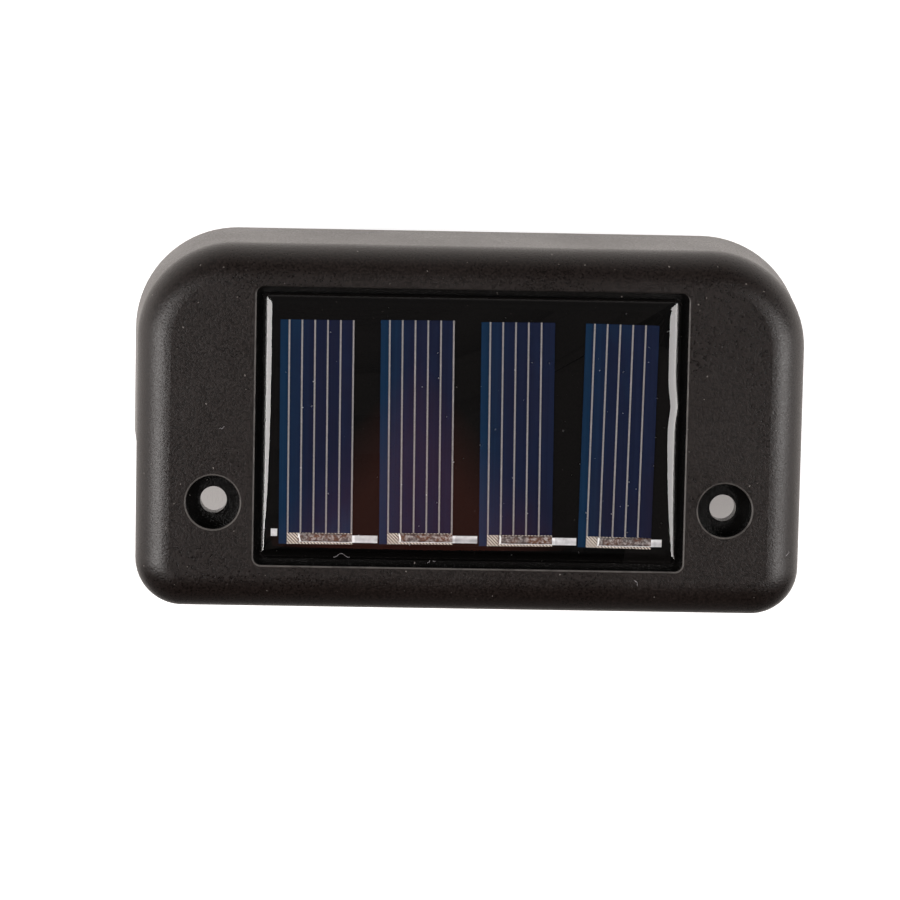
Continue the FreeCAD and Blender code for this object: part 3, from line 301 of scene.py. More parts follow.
plastics = {
    "gasket_rubber": {"colour": (0.02, 0.02, 0.021), "grain": 2500.0, "mottle": 0.3, "speckle": 0.12,
                      "roughness": 0.72, "bump": 0.3, "dust": 0.3},
    "knob_black": {"colour": (0.02, 0.019, 0.019), "grain": 3600.0, "mottle": 0.2, "speckle": 0.15,
                   "roughness": 0.4, "bump": 0.25, "dust": 0.2},
    "adhesive": {"colour": (0.42, 0.40, 0.34), "grain": 1800.0, "mottle": 0.4, "speckle": 0.10,
                 "roughness": 0.5, "bump": 0.5, "dust": 0.1},
    "reflector_white": {"colour": (0.78, 0.78, 0.76), "grain": 2200.0, "mottle": 0.08, "speckle": 0.04,
                        "roughness": 0.35, "bump": 0.1, "dust": 0.1},
    "chip_black": {"colour": (0.022, 0.022, 0.024), "grain": 5200.0, "mottle": 0.2, "speckle": 0.20,
                   "roughness": 0.5, "bump": 0.3, "dust": 0.1},
    "inductor_body": {"colour": (0.075, 0.07, 0.066), "grain": 3200.0, "mottle": 0.5, "speckle": 0.20,
                      "roughness": 0.6, "bump": 0.4, "dust": 0.1},
    "wire_red": {"colour": (0.42, 0.022, 0.016), "grain": 2600.0, "mottle": 0.3, "speckle": 0.06,
                 "roughness": 0.36, "bump": 0.12, "dust": 0.1},
    "wire_black": {"colour": (0.018, 0.018, 0.019), "grain": 2600.0, "mottle": 0.3, "speckle": 0.06,
                   "roughness": 0.36, "bump": 0.12, "dust": 0.1},
}


dustLook = {"spread": 820.0, "size": 0.11, "colour": (0.35, 0.33, 0.31), "share": 0.5}


def useSkin(tree, look):
    return useGroup(tree, mouldedSkin, colour=look["colour"], grain=look["grain"], mottle=look["mottle"],
                    speckle=look["speckle"], roughness=look["roughness"])


def useDust(tree, amount):
    return useGroup(tree, dustSpecks, spread=dustLook["spread"], size=dustLook["size"], amount=amount)["Mask"]


def makePlastic(name, look):
    material, tree, shader = newFinish(name)
    skin = useSkin(tree, look)
    dust = addMath(tree, "MULTIPLY", useDust(tree, look["dust"]), dustLook["share"])
    tree.links.new(addMix(tree, dust, skin["Colour"], (*dustLook["colour"], 1)), shader.inputs["Base Color"])
    tree.links.new(skin["Roughness"], shader.inputs["Roughness"])
    addBump(tree, shader, skin["Height"], look["bump"], skinShape["relief"])
    return material


housing = {
    "colour": (0.0108, 0.0070, 0.0059),
    "grain": 2800.0,
    "mottle": 0.5,
    "speckle": 0.50,
    "roughness": 0.33,
    "bump": 1.0,
    "dust": 0.45,
    "dustShare": 0.7,
    "dustColour": (0.30, 0.27, 0.25),
    # painted highlight: the light line along the rims, and the scale of the noise that breaks it up
    "paintedRimHighlight": (0.13, 0.12, 0.113),
    "highlightBreakScale": 420.0,
    # painted shade: a darker colour inside the recess and the bores, which are also smoother there
    "smoothAndShaded": (0.0035, 0.0032, 0.0030),
    "smoothRoughness": 0.16,
    "darkFront": (-34.0 * mm, -32.5 * mm, 0.15),   # the painted highlight line stays faint along the recess's front edge
    "recess": {"middle X": 0.0, "middle Y": -12.1 * mm, "half X": 33.88 * mm, "half Y": 22.03 * mm,
               "corner": 1.35 * mm, "width": 0.13 * mm, "bottom": 4.5 * mm},
    "bore": {"middle Y": 0.0, "half X": 4.36 * mm, "half Y": 4.36 * mm,
             "corner": 4.36 * mm, "width": 0.14 * mm, "bottom": 0.0},
    "boreSide": 40.2 * mm,
}


def makeHousing():
    # textured outside, with a painted highlight line round the recess and the bores; inside them the surface
    # is smooth, and darker by painted shade
    material, tree, shader = newFinish("housing_black")
    skin = useSkin(tree, housing)
    rims = [useGroup(tree, rimLine, **housing["recess"])]
    for side in (-1, 1):
        rims.append(useGroup(tree, rimLine, **{"middle X": side * housing["boreSide"]}, **housing["bore"]))
    line, inside = rims[0]["Line"], rims[0]["Inside"]
    for rim in rims[1:]:
        line = addMath(tree, "MAXIMUM", line, rim["Line"])
        inside = addMath(tree, "MAXIMUM", inside, rim["Inside"])
    # painted highlight along the recess and bore rims, broken up by noise and faint at the front
    broken = addRange(tree, addNoise(tree, objectPlace(tree), housing["highlightBreakScale"], 3.0), 0.3, 0.55, 0.35, 1.0)
    front = splitUp(tree, objectPlace(tree))["Y"]
    broken = addMath(tree, "MULTIPLY", broken, addRange(tree, front, *housing["darkFront"]))
    dust = addMath(tree, "MULTIPLY", useDust(tree, housing["dust"]), housing["dustShare"])
    # painted shade inside the recess and the bores, where the surface is also smooth
    colour = addMix(tree, inside, skin["Colour"], (*housing["smoothAndShaded"], 1))
    colour = addMix(tree, addMath(tree, "MULTIPLY", line, broken), colour, (*housing["paintedRimHighlight"], 1))
    colour = addMix(tree, dust, colour, (*housing["dustColour"], 1))
    tree.links.new(colour, shader.inputs["Base Color"])
    rough = addNode(tree, "ShaderNodeMix", {0: inside, 2: skin["Roughness"], 3: housing["smoothRoughness"]})
    tree.links.new(rough.outputs[0], shader.inputs["Roughness"])
    addBump(tree, shader, skin["Height"], housing["bump"], skinShape["relief"])
    return material


metals = {
    "ribbon_tinned": {"colour": (0.80, 0.80, 0.82), "tarnish": (0.40, 0.39, 0.40), "stain": 0.6,
                      "grain": 2600.0, "roughness": 0.34, "metallic": 0.45},
    "contact_nickel": {"colour": (0.62, 0.60, 0.55), "tarnish": (0.36, 0.32, 0.26), "stain": 0.4,
                       "grain": 3000.0, "roughness": 0.28, "metallic": 1.0},
    "switch_steel": {"colour": (0.56, 0.56, 0.55), "tarnish": (0.33, 0.31, 0.28), "stain": 0.4,
                     "grain": 3400.0, "roughness": 0.32, "metallic": 1.0},
    "screw_steel": {"colour": (0.60, 0.60, 0.60), "tarnish": (0.34, 0.32, 0.30), "stain": 0.35,
                    "grain": 4200.0, "roughness": 0.27, "metallic": 1.0},
}


metalRelief = {"strength": 0.2, "distance": 0.04 * mm}


def useMetal(tree, look):
    return useGroup(tree, metalSkin, colour=look["colour"], tarnish=look["tarnish"], stain=look["stain"],
                    grain=look["grain"], roughness=look["roughness"])


def makeMetal(name, look):
    material, tree, shader = newFinish(name, metallic=look["metallic"])
    skin = useMetal(tree, look)
    tree.links.new(skin["Colour"], shader.inputs["Base Color"])
    tree.links.new(skin["Roughness"], shader.inputs["Roughness"])
    addBump(tree, shader, skin["Height"], **metalRelief)
    return material


silicon = {
    "navy": (0.0076, 0.0118, 0.0325),
    "teal": (0.0055, 0.0215, 0.0530),
    "plum": (0.0112, 0.0106, 0.0260),
    "strip": 1.3 * mm,             # width of the painted teal highlight along one edge
    "sheenReach": (4.5 * mm, 2.5 * mm, 0.45),   # and a fainter painted teal highlight next to it
    "roughness": 0.18,
    "specular": 0.03,
}


def makeSilicon(number):
    # each cell has its own drift of colour, and a painted teal highlight along one edge
    material, tree, shader = newFinish("silicon_blue_%d" % number, specular=silicon["specular"])
    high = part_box("solar_cell_%d" % number)[1]
    place = addNode(tree, "ShaderNodeVectorMath", {
        0: objectPlace(tree), 1: (0.1 * number, 0.07 * number, 0.0)}, operation="ADD").outputs[0]
    lines = addNoise(tree, stretched(tree, place, (2600.0, 14.0, 1.0)), 1.0, 2.0)
    drift = addNoise(tree, stretched(tree, place, (90.0, 30.0, 1.0)), 1.0, 3.0)
    colour = addMix(tree, addRange(tree, drift, 0.50, 0.68), (*silicon["navy"], 1), (*silicon["plum"], 1))
    colour = addMix(tree, addRange(tree, drift, 0.44, 0.30), colour, (*silicon["teal"], 1))
    across = splitUp(tree, objectPlace(tree))["X"]
    # painted highlight: teal along each cell's +x edge, on the same side of every cell
    strip = addRange(tree, across, high.x - silicon["strip"] - 0.2 * mm, high.x - silicon["strip"])
    far, near, most = silicon["sheenReach"]
    third = addRange(tree, across, high.x - far, high.x - near, 0.0, most)
    colour = addMix(tree, addMath(tree, "MAXIMUM", strip, third), colour, (*silicon["teal"], 1))
    shade = addRange(tree, lines, 0.3, 0.7, 0.90, 1.10)
    colour = addScale(tree, colour, shade)
    tree.links.new(colour, shader.inputs["Base Color"])
    tree.links.new(addRange(tree, lines, 0.3, 0.7, silicon["roughness"] - 0.04, silicon["roughness"] + 0.08),
                   shader.inputs["Roughness"])
    addBump(tree, shader, lines, 0.05, 0.00002)
    return material


paste = {
    "finger": (0.25, 0.235, 0.235),
    "light": (0.74, 0.66, 0.58),
    "dark": (0.05, 0.035, 0.028),
    "pitch": 0.36 * mm,
    "busbarHalf": 0.88 * mm,
}
# painted shade down the ribbon's middle: its colour, shift, reach and strength
ribbonShade = {
    "colour": (0.30, 0.31, 0.34),
    "shift": 0.15 * mm,
    "edge": 0.45 * mm,
    "core": 0.1 * mm,
    "share": 0.75,
}


def makeRibbon(number):
    # tinned ribbon: painted shade makes it greyer in the middle, so that it looks bright along its edges
    material, tree, shader = newFinish("ribbon_tinned_%d" % number, metallic=0.45)
    look = metals["ribbon_tinned"]
    low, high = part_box("tab_ribbon_%d" % number)
    skin = useMetal(tree, look)
    across = splitUp(tree, objectPlace(tree))["Y"]
    away = addMath(tree, "SUBTRACT", across, (low.y + high.y) / 2 + ribbonShade["shift"])
    away = addMath(tree, "ABSOLUTE", away)
    # painted shade, greyer towards the middle and uneven along it
    middle = addRange(tree, away, ribbonShade["edge"], ribbonShade["core"], 0.0, ribbonShade["share"])
    uneven = addRange(tree, addNoise(tree, objectPlace(tree), 260.0, 2.0), 0.35, 0.6)
    paintedShade = addMath(tree, "MULTIPLY", middle, uneven)
    colour = addMix(tree, paintedShade, skin["Colour"], (*ribbonShade["colour"], 1))
    tree.links.new(colour, shader.inputs["Base Color"])
    tree.links.new(skin["Roughness"], shader.inputs["Roughness"])
    addBump(tree, shader, skin["Height"], **metalRelief)
    return material


def makePaste(number):
    # printed silver paste: plain fingers, and a busbar on which the screen leaves slanting ridges
    material, tree, shader = newFinish("grid_silver_%d" % number, metallic=0.3, roughness=0.45)
    low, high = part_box("tab_ribbon_%d" % number)
    place = objectPlace(tree)
    apart = splitUp(tree, place)
    slant = addMath(tree, "ADD", apart["X"], apart["Y"])
    turns = 2 * math.pi / paste["pitch"] * math.sqrt(0.5)
    ridge = addMath(tree, "SINE", addMath(tree, "MULTIPLY", slant, turns))
    broken = addNoise(tree, place, 5200.0, 2.0)
    ridge = addMath(tree, "ADD", ridge, addRange(tree, broken, 0.3, 0.7, -0.4, 0.4))
    hatch = addMix(tree, addRange(tree, ridge, -0.7, 0.7), (*paste["dark"], 1), (*paste["light"], 1))
    busbar = addRange(tree, apart["Y"], (low.y + high.y) / 2 - paste["busbarHalf"] - 0.1 * mm,
                      (low.y + high.y) / 2 - paste["busbarHalf"])
    shade = addRange(tree, broken, 0.3, 0.7, 0.8, 1.2)
    plain = addScale(tree, paste["finger"], shade)
    tree.links.new(addMix(tree, busbar, plain, hatch), shader.inputs["Base Color"])
    addBump(tree, shader, addMath(tree, "MULTIPLY", ridge, busbar), 0.4, 0.00002)
    return material


board = {"base": (0.012, 0.075, 0.03), "trace": (0.035, 0.15, 0.055), "pitch": 240.0}


def makeBoard():
    material, tree, shader = newFinish("board_green", coat=0.25, coatRoughness=0.2)
    place = objectPlace(tree)
    weave = addNoise(tree, stretched(tree, place, (2200.0, 900.0, 900.0)), 1.0, 2.0)
    track = addNode(tree, "ShaderNodeTexBrick", {
        "Vector": place, "Color1": (1, 1, 1, 1), "Color2": (1, 1, 1, 1), "Mortar": (0, 0, 0, 1),
        "Scale": board["pitch"], "Mortar Size": 0.02, "Brick Width": 0.7, "Row Height": 0.3},
        offset=0.37).outputs["Fac"]
    colour = addMix(tree, addMath(tree, "MULTIPLY", track, 0.55), (*board["base"], 1), (*board["trace"], 1))
    shade = addRange(tree, weave, 0.3, 0.7, 0.88, 1.12)
    colour = addScale(tree, colour, shade)
    tree.links.new(colour, shader.inputs["Base Color"])
    tree.links.new(addRange(tree, weave, 0.3, 0.7, 0.3, 0.45), shader.inputs["Roughness"])
    addBump(tree, shader, addMath(tree, "ADD", weave, track), 0.15, 0.00003)
    return material


panelBlack = {
    "colour": (0.0058, 0.0051, 0.0049),
    "fleck": (0.03, 0.026, 0.024),
    "grain": 3000.0,
    "mottle": 0.3,
    "speckle": 0.15,
    "roughness": 0.55,
}


def makePanelBlack():
    material, tree, shader = newFinish("panel_board_black", specular=0.02)
    skin = useSkin(tree, panelBlack)
    dust = useGroup(tree, dustSpecks, spread=900.0, size=0.11, amount=0.5)["Mask"]
    tree.links.new(addMix(tree, dust, skin["Colour"], (*panelBlack["fleck"], 1)), shader.inputs["Base Color"])
    tree.links.new(skin["Roughness"], shader.inputs["Roughness"])
    addBump(tree, shader, skin["Height"], 0.1, 0.00003)
    return material


def addShadowGlass(tree, shader):
    # light reaches what is under the clear layer through its shadow rays
    clear = addNode(tree, "ShaderNodeBsdfTransparent")
    path = addNode(tree, "ShaderNodeLightPath").outputs["Is Shadow Ray"]
    blend = addNode(tree, "ShaderNodeMixShader", {0: path, 1: shader.outputs[0], 2: clear.outputs[0]})
    out = [n for n in tree.nodes if n.bl_idname == "ShaderNodeOutputMaterial"][0]
    tree.links.new(blend.outputs[0], out.inputs["Surface"])


resin = {
    "ior": 1.66,
    "clear": (0.99, 0.985, 0.97),
    "dusty": (0.6, 0.58, 0.56),
    "roughness": 0.0,
    "haze": 0.012,
    "wave": 0.003,
    "dust": 0.35,
}


def makeResin():
    material, tree, shader = newFinish("resin_clear", transmission=1.0, ior=resin["ior"])
    place = objectPlace(tree)
    dust = useGroup(tree, dustSpecks, spread=760.0, size=0.10, amount=resin["dust"])["Mask"]
    haze = addRange(tree, addNoise(tree, place, 90.0, 3.0), 0.35, 0.7, resin["roughness"], resin["haze"])
    rough = addMath(tree, "ADD", haze, addMath(tree, "MULTIPLY", dust, 0.5))
    tree.links.new(rough, shader.inputs["Roughness"])
    colour = addMix(tree, dust, (*resin["clear"], 1), (*resin["dusty"], 1))
    tree.links.new(colour, shader.inputs["Base Color"])
    addBump(tree, shader, addNoise(tree, place, 130.0, 2.0), resin["wave"], 0.0004)
    addShadowGlass(tree, shader)
    return material


lens = {"colour": (0.93, 0.945, 0.94), "roughness": 0.34, "ior": 1.49}


def makeLens():
    material, tree, shader = newFinish("lens_frosted", transmission=0.82, ior=lens["ior"])
    place = objectPlace(tree)
    frost = addNoise(tree, place, 3800.0, 3.0, 0.6)
    cloud = addNoise(tree, place, 60.0, 3.0)
    dust = useGroup(tree, dustSpecks, spread=420.0, size=0.12, amount=0.25)["Mask"]
    shade = addMix(tree, addRange(tree, cloud, 0.35, 0.7), (*lens["colour"], 1), (0.86, 0.88, 0.87, 1))
    tree.links.new(addMix(tree, dust, shade, (0.5, 0.48, 0.45, 1)), shader.inputs["Base Color"])
    tree.links.new(addRange(tree, cloud, 0.3, 0.7, lens["roughness"] - 0.05, lens["roughness"] + 0.08),
                   shader.inputs["Roughness"])
    addBump(tree, shader, frost, 0.2, 0.00006)
    addShadowGlass(tree, shader)
    return material


led = {"shell": (0.75, 0.75, 0.72), "phosphor": (0.86, 0.66, 0.16)}


def makeLed():
    # phosphor dome in a white shell
    material, tree, shader = newFinish("led_warm", coat=0.6, coatRoughness=0.08)
    place = objectPlace(tree)
    grain = addNoise(tree, place, 2400.0, 3.0)
    normal = splitUp(tree, addNode(tree, "ShaderNodeNewGeometry").outputs["Normal"])
    facing = addRange(tree, addMath(tree, "MULTIPLY", normal["Y"], -1.0), 0.2, 0.7)
    colour = addMix(tree, facing, (*led["shell"], 1), (*led["phosphor"], 1))
    shade = addRange(tree, grain, 0.3, 0.7, 0.9, 1.08)
    colour = addScale(tree, colour, shade)
    tree.links.new(colour, shader.inputs["Base Color"])
    tree.links.new(addRange(tree, grain, 0.3, 0.7, 0.3, 0.45), shader.inputs["Roughness"])
    return material


wrap = {"film": (0.028, 0.22, 0.075), "ring": (0.03, 0.03, 0.032), "ringWidth": 8.5 * mm}


def makeWrap():
    # shrink film on the battery: green, with a dark end ring and fine wrinkles across
    material, tree, shader = newFinish("battery_wrap", coat=0.5, coatRoughness=0.15)
    place = objectPlace(tree)
    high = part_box("battery")[1]
    along = splitUp(tree, place)["X"]
    ring = addRange(tree, along, high.x - wrap["ringWidth"], high.x - wrap["ringWidth"] + 0.3 * mm)
    wrinkle = addNoise(tree, stretched(tree, place, (1500.0, 260.0, 260.0)), 1.0, 3.0)
    colour = addMix(tree, ring, (*wrap["film"], 1), (*wrap["ring"], 1))
    shade = addRange(tree, wrinkle, 0.3, 0.7, 0.88, 1.12)
    colour = addScale(tree, colour, shade)
    tree.links.new(colour, shader.inputs["Base Color"])
    tree.links.new(addRange(tree, wrinkle, 0.3, 0.7, 0.28, 0.4), shader.inputs["Roughness"])
    addBump(tree, shader, wrinkle, 0.2, 0.00008)
    return material


def finishNodes():
    for name, look in plastics.items():
        finishes[name] = makePlastic(name, look)
    for name, look in metals.items():
        finishes[name] = makeMetal(name, look)
    finishes["housing_black"] = makeHousing()
    finishes["board_green"] = makeBoard()
    finishes["panel_board_black"] = makePanelBlack()
    finishes["resin_clear"] = makeResin()
    finishes["lens_frosted"] = makeLens()
    finishes["led_warm"] = makeLed()
    finishes["battery_wrap"] = makeWrap()
    for number in (1, 2, 3, 4):
        nodes["solar_cell_%d" % number].material_slots[0].material = makeSilicon(number)
        nodes["finger_grid_%d" % number].material_slots[0].material = makePaste(number)
        nodes["tab_ribbon_%d" % number].material_slots[0].material = makeRibbon(number)
    for name, node in nodes.items():
        for place in node.material_slots:
            if not name.startswith(("solar_cell", "finger_grid", "tab_ribbon")):
                place.material = finishes[place.material.name.split(".")[0]]


finishNodes()
print("finishes given to", len(nodes), "nodes")


def addPiece(name, mesh, slot, body="housing", smoothAndShaded=True):
    piece = bpy.data.objects.new(name, mesh)
    scene.collection.objects.link(piece)
    mesh.materials.append(finishes[slot])
    for face in mesh.polygons:
        face.use_smooth = smoothAndShaded
    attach(piece, body)
    return piece


# the poured resin over the cells, with its rounded rim
resinCap = {
    "corner": 1.4 * mm,
    "rim": {"left": 0.53 * mm, "right": 0.58 * mm, "ends": 0.49 * mm},  # steep outer part
    "rimSlopes": (42.0, 31.0),
    "inner": {"left": 1.33 * mm, "right": 2.08 * mm},
    "runOut": {"left": 0.92, "right": 0.985},  # where the inner part runs out towards the rear
    "taper": 4,
    "innerLeast": 0.06 * mm,
    "innerEnds": 1.2 * mm,
    "run": 0.45 * mm,
    "runAt": 0.40,
    "runLong": 0.05,
    "reach": 3.6 * mm,
    "perSide": 36,
    "rings": (6, 14),
}


def roundedOutline(low, high, corner, perSide):
    points = []
    centres = [(high.x - corner, high.y - corner, 0), (low.x + corner, high.y - corner, 90),
               (low.x + corner, low.y + corner, 180), (high.x - corner, low.y + corner, 270)]
    for n, (x, y, start) in enumerate(centres):
        for step in range(9):
            angle = math.radians(start + 90 * step / 8)
            normal = Vector((math.cos(angle), math.sin(angle), 0))
            points.append((Vector((x, y, 0)) + corner * normal, normal))
        nx, ny, nextStart = centres[(n + 1) % 4]
        angle = math.radians(nextStart)
        normal = Vector((math.cos(angle), math.sin(angle), 0))
        first, last = Vector((x, y, 0)) + corner * normal, Vector((nx, ny, 0)) + corner * normal
        for step in range(1, perSide):
            points.append((first.lerp(last, step / perSide), normal))
    return points


def rimDrop(distance, rim, inner):
    # how far the surface lies below the top, this far in from a side
    steep, shallow = (math.radians(a) for a in resinCap["rimSlopes"])
    drop, steps = 0.0, 24
    for step in range(steps):
        at = distance + (rim + inner - distance) * (step + 0.5) / steps
        slope = steep + (shallow - steep) * at / rim if at < rim else shallow * (1 - (at - rim) / inner)
        drop += math.tan(slope) * (rim + inner - distance) / steps
    return drop if distance < rim + inner else 0.0


def makeResinCap():
    low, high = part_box("panel_resin")
    outline = roundedOutline(low, high, resinCap["corner"], resinCap["perSide"])

    def topHeight(x, y):
        rear = (y - low.y) / (high.y - low.y)
        drops = [rimDrop(gap, resinCap["rim"]["ends"], resinCap["innerEnds"])
                 for gap in (y - low.y, high.y - y)]
        for name, gap in (("left", high.x - x), ("right", x - low.x)):
            inner = max(resinCap["innerLeast"], resinCap["inner"][name] * (
                1 - (max(rear, 0.0) / resinCap["runOut"][name]) ** resinCap["taper"]))
            # a run in the pour pushes the photo-right rim outwards
            run = resinCap["run"] * math.exp(-((rear - resinCap["runAt"]) / resinCap["runLong"]) ** 2)
            run = run if name == "right" else 0.0
            drops.append(rimDrop(gap + run, resinCap["rim"][name], inner))
        return high.z - min(max(drops), high.z - low.z - 0.03 * mm)

    form = bmesh.new()
    rimSteps, innerSteps = resinCap["rings"]
    steepPart = resinCap["rim"]["ends"]
    insets = [steepPart * step / rimSteps for step in range(rimSteps)]
    insets += [steepPart + (resinCap["reach"] - steepPart) * step / innerSteps
               for step in range(innerSteps + 1)]
    rings = []
    for inset in insets:
        # each ring keeps to an inset rectangle, so that the corners meet in a mitre
        places = [(min(max(point.x, low.x + inset), high.x - inset),
                   min(max(point.y, low.y + inset), high.y - inset)) for point, normal in outline]
        rings.append([form.verts.new((x, y, topHeight(x, y))) for x, y in places])
    foot = [form.verts.new((point.x, point.y, low.z)) for point, normal in outline]
    for lower, upper in zip([foot] + rings[:-1], rings):
        for i in range(len(lower)):
            j = (i + 1) % len(lower)
            form.faces.new((lower[i], lower[j], upper[j], upper[i]))
    form.faces.new(rings[-1])
    form.faces.new(list(reversed(foot)))
    bmesh.ops.remove_doubles(form, verts=form.verts, dist=0.002 * mm)
    bmesh.ops.dissolve_degenerate(form, edges=form.edges, dist=0.002 * mm)
    mesh = bpy.data.meshes.new("resinCap")
    form.to_mesh(mesh)
    form.free()
    piece = addPiece("resinCap", mesh, "resin_clear")
    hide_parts("panel_resin")
    print("resin cap:", len(mesh.vertices), "points")


makeResinCap()


# the solder that wets each tab ribbon onto its cell
solder = {
    "height": 0.16 * mm,
    "bead": 0.22 * mm,
    "width": 1.12,             # of the ribbon's own width
    "shift": -0.16 * mm,
    "steps": 40,
    "across": 8,
}


def makeSolder(number):
    grid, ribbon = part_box("finger_grid_%d" % number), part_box("tab_ribbon_%d" % number)
    middle = (ribbon[0].y + ribbon[1].y) / 2 + solder["shift"]
    half = (ribbon[1].y - ribbon[0].y) / 2 * solder["width"]
    # photo-right is -x: the bead is at the cell's second finger, the seam ends at the cell's edge
    start, end = min(ribbon[1].x, grid[1].x), max(ribbon[0].x, grid[0].x)
    form = bmesh.new()
    rows = []
    for i in range(solder["steps"] + 1):
        along = i / solder["steps"]
        x = start + (end - start) * along
        ends = min(1.0, 6 * along + 0.15, 6 * (1 - along) + 0.15)
        bead = math.exp(-(along / 0.035) ** 2)
        row = []
        for j in range(solder["across"] + 1):
            side = 2 * j / solder["across"] - 1
            lump = random.uniform(0.75, 1.15)
            lift = (solder["height"] * lump + solder["bead"] * bead) * ends * (1 - side ** 4) + 0.01 * mm
            edge = half * side * (1 + 0.12 * bead + random.uniform(-0.05, 0.05))
            row.append(form.verts.new((x, middle + edge, ribbon[1].z + lift - 0.02 * mm)))
        rows.append(row)
    for a, b in zip(rows[:-1], rows[1:]):
        for j in range(solder["across"]):
            form.faces.new((a[j], a[j + 1], b[j + 1], b[j]))
    edgeLoop = rows[0][:] + [r[-1] for r in rows[1:-1]] + rows[-1][::-1] + [r[0] for r in rows[-2:0:-1]]
    base = [form.verts.new((v.co.x, v.co.y, ribbon[1].z - 0.04 * mm)) for v in edgeLoop]
    for i in range(len(base)):
        j = (i + 1) % len(base)
        form.faces.new((edgeLoop[i], edgeLoop[j], base[j], base[i]))
    form.faces.new(base)
    bmesh.ops.recalc_face_normals(form, faces=form.faces)
    mesh = bpy.data.meshes.new("solderSeam%d" % number)
    form.to_mesh(mesh)
    form.free()
    addPiece("solderSeam%d" % number, mesh, "ribbon_tinned")


solderFinish = {"bright": (0.42, 0.39, 0.38), "flux": (0.11, 0.042, 0.022), "smoke": (0.075, 0.062, 0.062),
                "bead": (0.95, 0.95, 0.95), "roughness": 0.34}


def makeSolderFinish(number):
    # silver patches, brown flux residue, and a bright bead where the iron was set down
    material, tree, shader = newFinish("solder_fluxed_%d" % number, metallic=0.5)
    place = objectPlace(tree)
    grid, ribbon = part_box("finger_grid_%d" % number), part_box("tab_ribbon_%d" % number)
    start = min(ribbon[1].x, grid[1].x)
    patch = addRange(tree, addNoise(tree, place, 1900.0, 4.0, 0.7), 0.36, 0.54)
    wide = addRange(tree, addNoise(tree, place, 500.0, 2.0), 0.38, 0.62)
    dull = addMix(tree, wide, (*solderFinish["smoke"], 1), (*solderFinish["flux"], 1))
    colour = addMix(tree, patch, (*solderFinish["bright"], 1), dull)
    along = splitUp(tree, place)["X"]
    wander = addRange(tree, addNoise(tree, place, 900.0, 2.0), 0.3, 0.7, -0.16 * mm, 0.16 * mm)
    away = addMath(tree, "SUBTRACT", addMath(tree, "ADD", along, wander), start - 0.25 * mm)
    away = addMath(tree, "ABSOLUTE", away)
    bead = addRange(tree, away, 0.17 * mm, 0.10 * mm)
    tree.links.new(addMix(tree, bead, colour, (*solderFinish["bead"], 1)), shader.inputs["Base Color"])
    tree.links.new(addMath(tree, "ADD", addMath(tree, "MULTIPLY", patch, 0.25), solderFinish["roughness"]),
                   shader.inputs["Roughness"])
    addBump(tree, shader, patch, 0.5, 0.00005)
    return material


for number in (1, 2, 3, 4):
    makeSolder(number)
    bpy.data.objects["solderSeam%d" % number].material_slots[0].material = makeSolderFinish(number)
print("solder seams laid")


# lint that lies on the face and on the resin: start, length, heading in degrees, bend
lint = {"radius": 0.022 * mm, "colour": (0.62, 0.59, 0.62), "strands": [
    ((0.0064, 0.0092, 0.00560), 0.0016, 190, 0.9), ((0.0212, 0.0084, 0.00640), 0.0030, 180, 0.8),
    ((-0.0500, 0.0081, 0.00600), 0.0018, 250, 0.4), ((-0.0262, 0.0112, 0.00700), 0.0012, 120, 0.6),
    ((0.0440, -0.0330, 0.00695), 0.0020, 60, 0.9), ((0.0385, -0.0120, 0.00700), 0.0010, 20, 0.8)]}


def makeLint():
    material, tree, shader = newFinish("lint_fibre", roughness=0.8)
    shade = addRange(tree, addNoise(tree, objectPlace(tree), 4000.0, 2.0), 0.3, 0.7, 0.75, 1.15)
    tree.links.new(addScale(tree, lint["colour"], shade), shader.inputs["Base Color"])
    for number, (start, length, heading, bend) in enumerate(lint["strands"], 1):
        form = bmesh.new()
        spot, steps, rows = Vector(start), 12, []
        for step in range(steps + 1):
            turn = math.radians(heading) + bend * math.sin(2.2 * math.pi * step / steps)
            ahead = Vector((math.cos(turn), math.sin(turn), 0))
            beside = Vector((-math.sin(turn), math.cos(turn), 0))
            quarters = [math.pi / 2 * quarter for quarter in range(4)]
            spokes = [math.cos(turned) * beside + Vector((0, 0, math.sin(turned))) for turned in quarters]
            rows.append([form.verts.new(spot + lint["radius"] * spoke) for spoke in spokes])
            spot = spot + ahead * length / steps
        for a, b in zip(rows[:-1], rows[1:]):
            for j in range(4):
                form.faces.new((a[j], a[(j + 1) % 4], b[(j + 1) % 4], b[j]))
        form.faces.new(rows[0][::-1])
        form.faces.new(rows[-1])
        bmesh.ops.recalc_face_normals(form, faces=form.faces)
        mesh = bpy.data.meshes.new("lintFibre%d" % number)
        form.to_mesh(mesh)
        form.free()
        addPiece("lintFibre%d" % number, mesh, "housing_black").material_slots[0].material = material


makeLint()
print("lint laid:", len(lint["strands"]), "fibres")


# stage: white table, white world at the horizon, dark overhead
stage = {
    "table": 4.0,
    "gap": 0.15 * mm,
    "paper": (0.74, 0.717, 0.70),
    "lift": 0.87,              # the paper's own glow, as the camera sees it
    "glossLift": 0.53,         # and as gloss and glass see it
    "glossTint": (1.0, 0.93, 0.88),
    "unlit": (0.03, 0.03, 0.03),
    "middle": (0.0, -11.8 * mm),
    "half": (52.5 * mm, 28.8 * mm),
    "fade": 6.0 * mm,
    "rear": (15.0 * mm, 60.0 * mm, 1.0, 0.10),
    "shaded": {"middle": (-1.5 * mm, 1.5 * mm), "half": (55.5 * mm, 19.5 * mm), "fade": 9.0 * mm},
    "footprint": {"middle": (0.0, -25.1 * mm), "half": (52.0 * mm, 15.1 * mm), "fade": 0.5 * mm},
    "underGlow": 0.4,
}


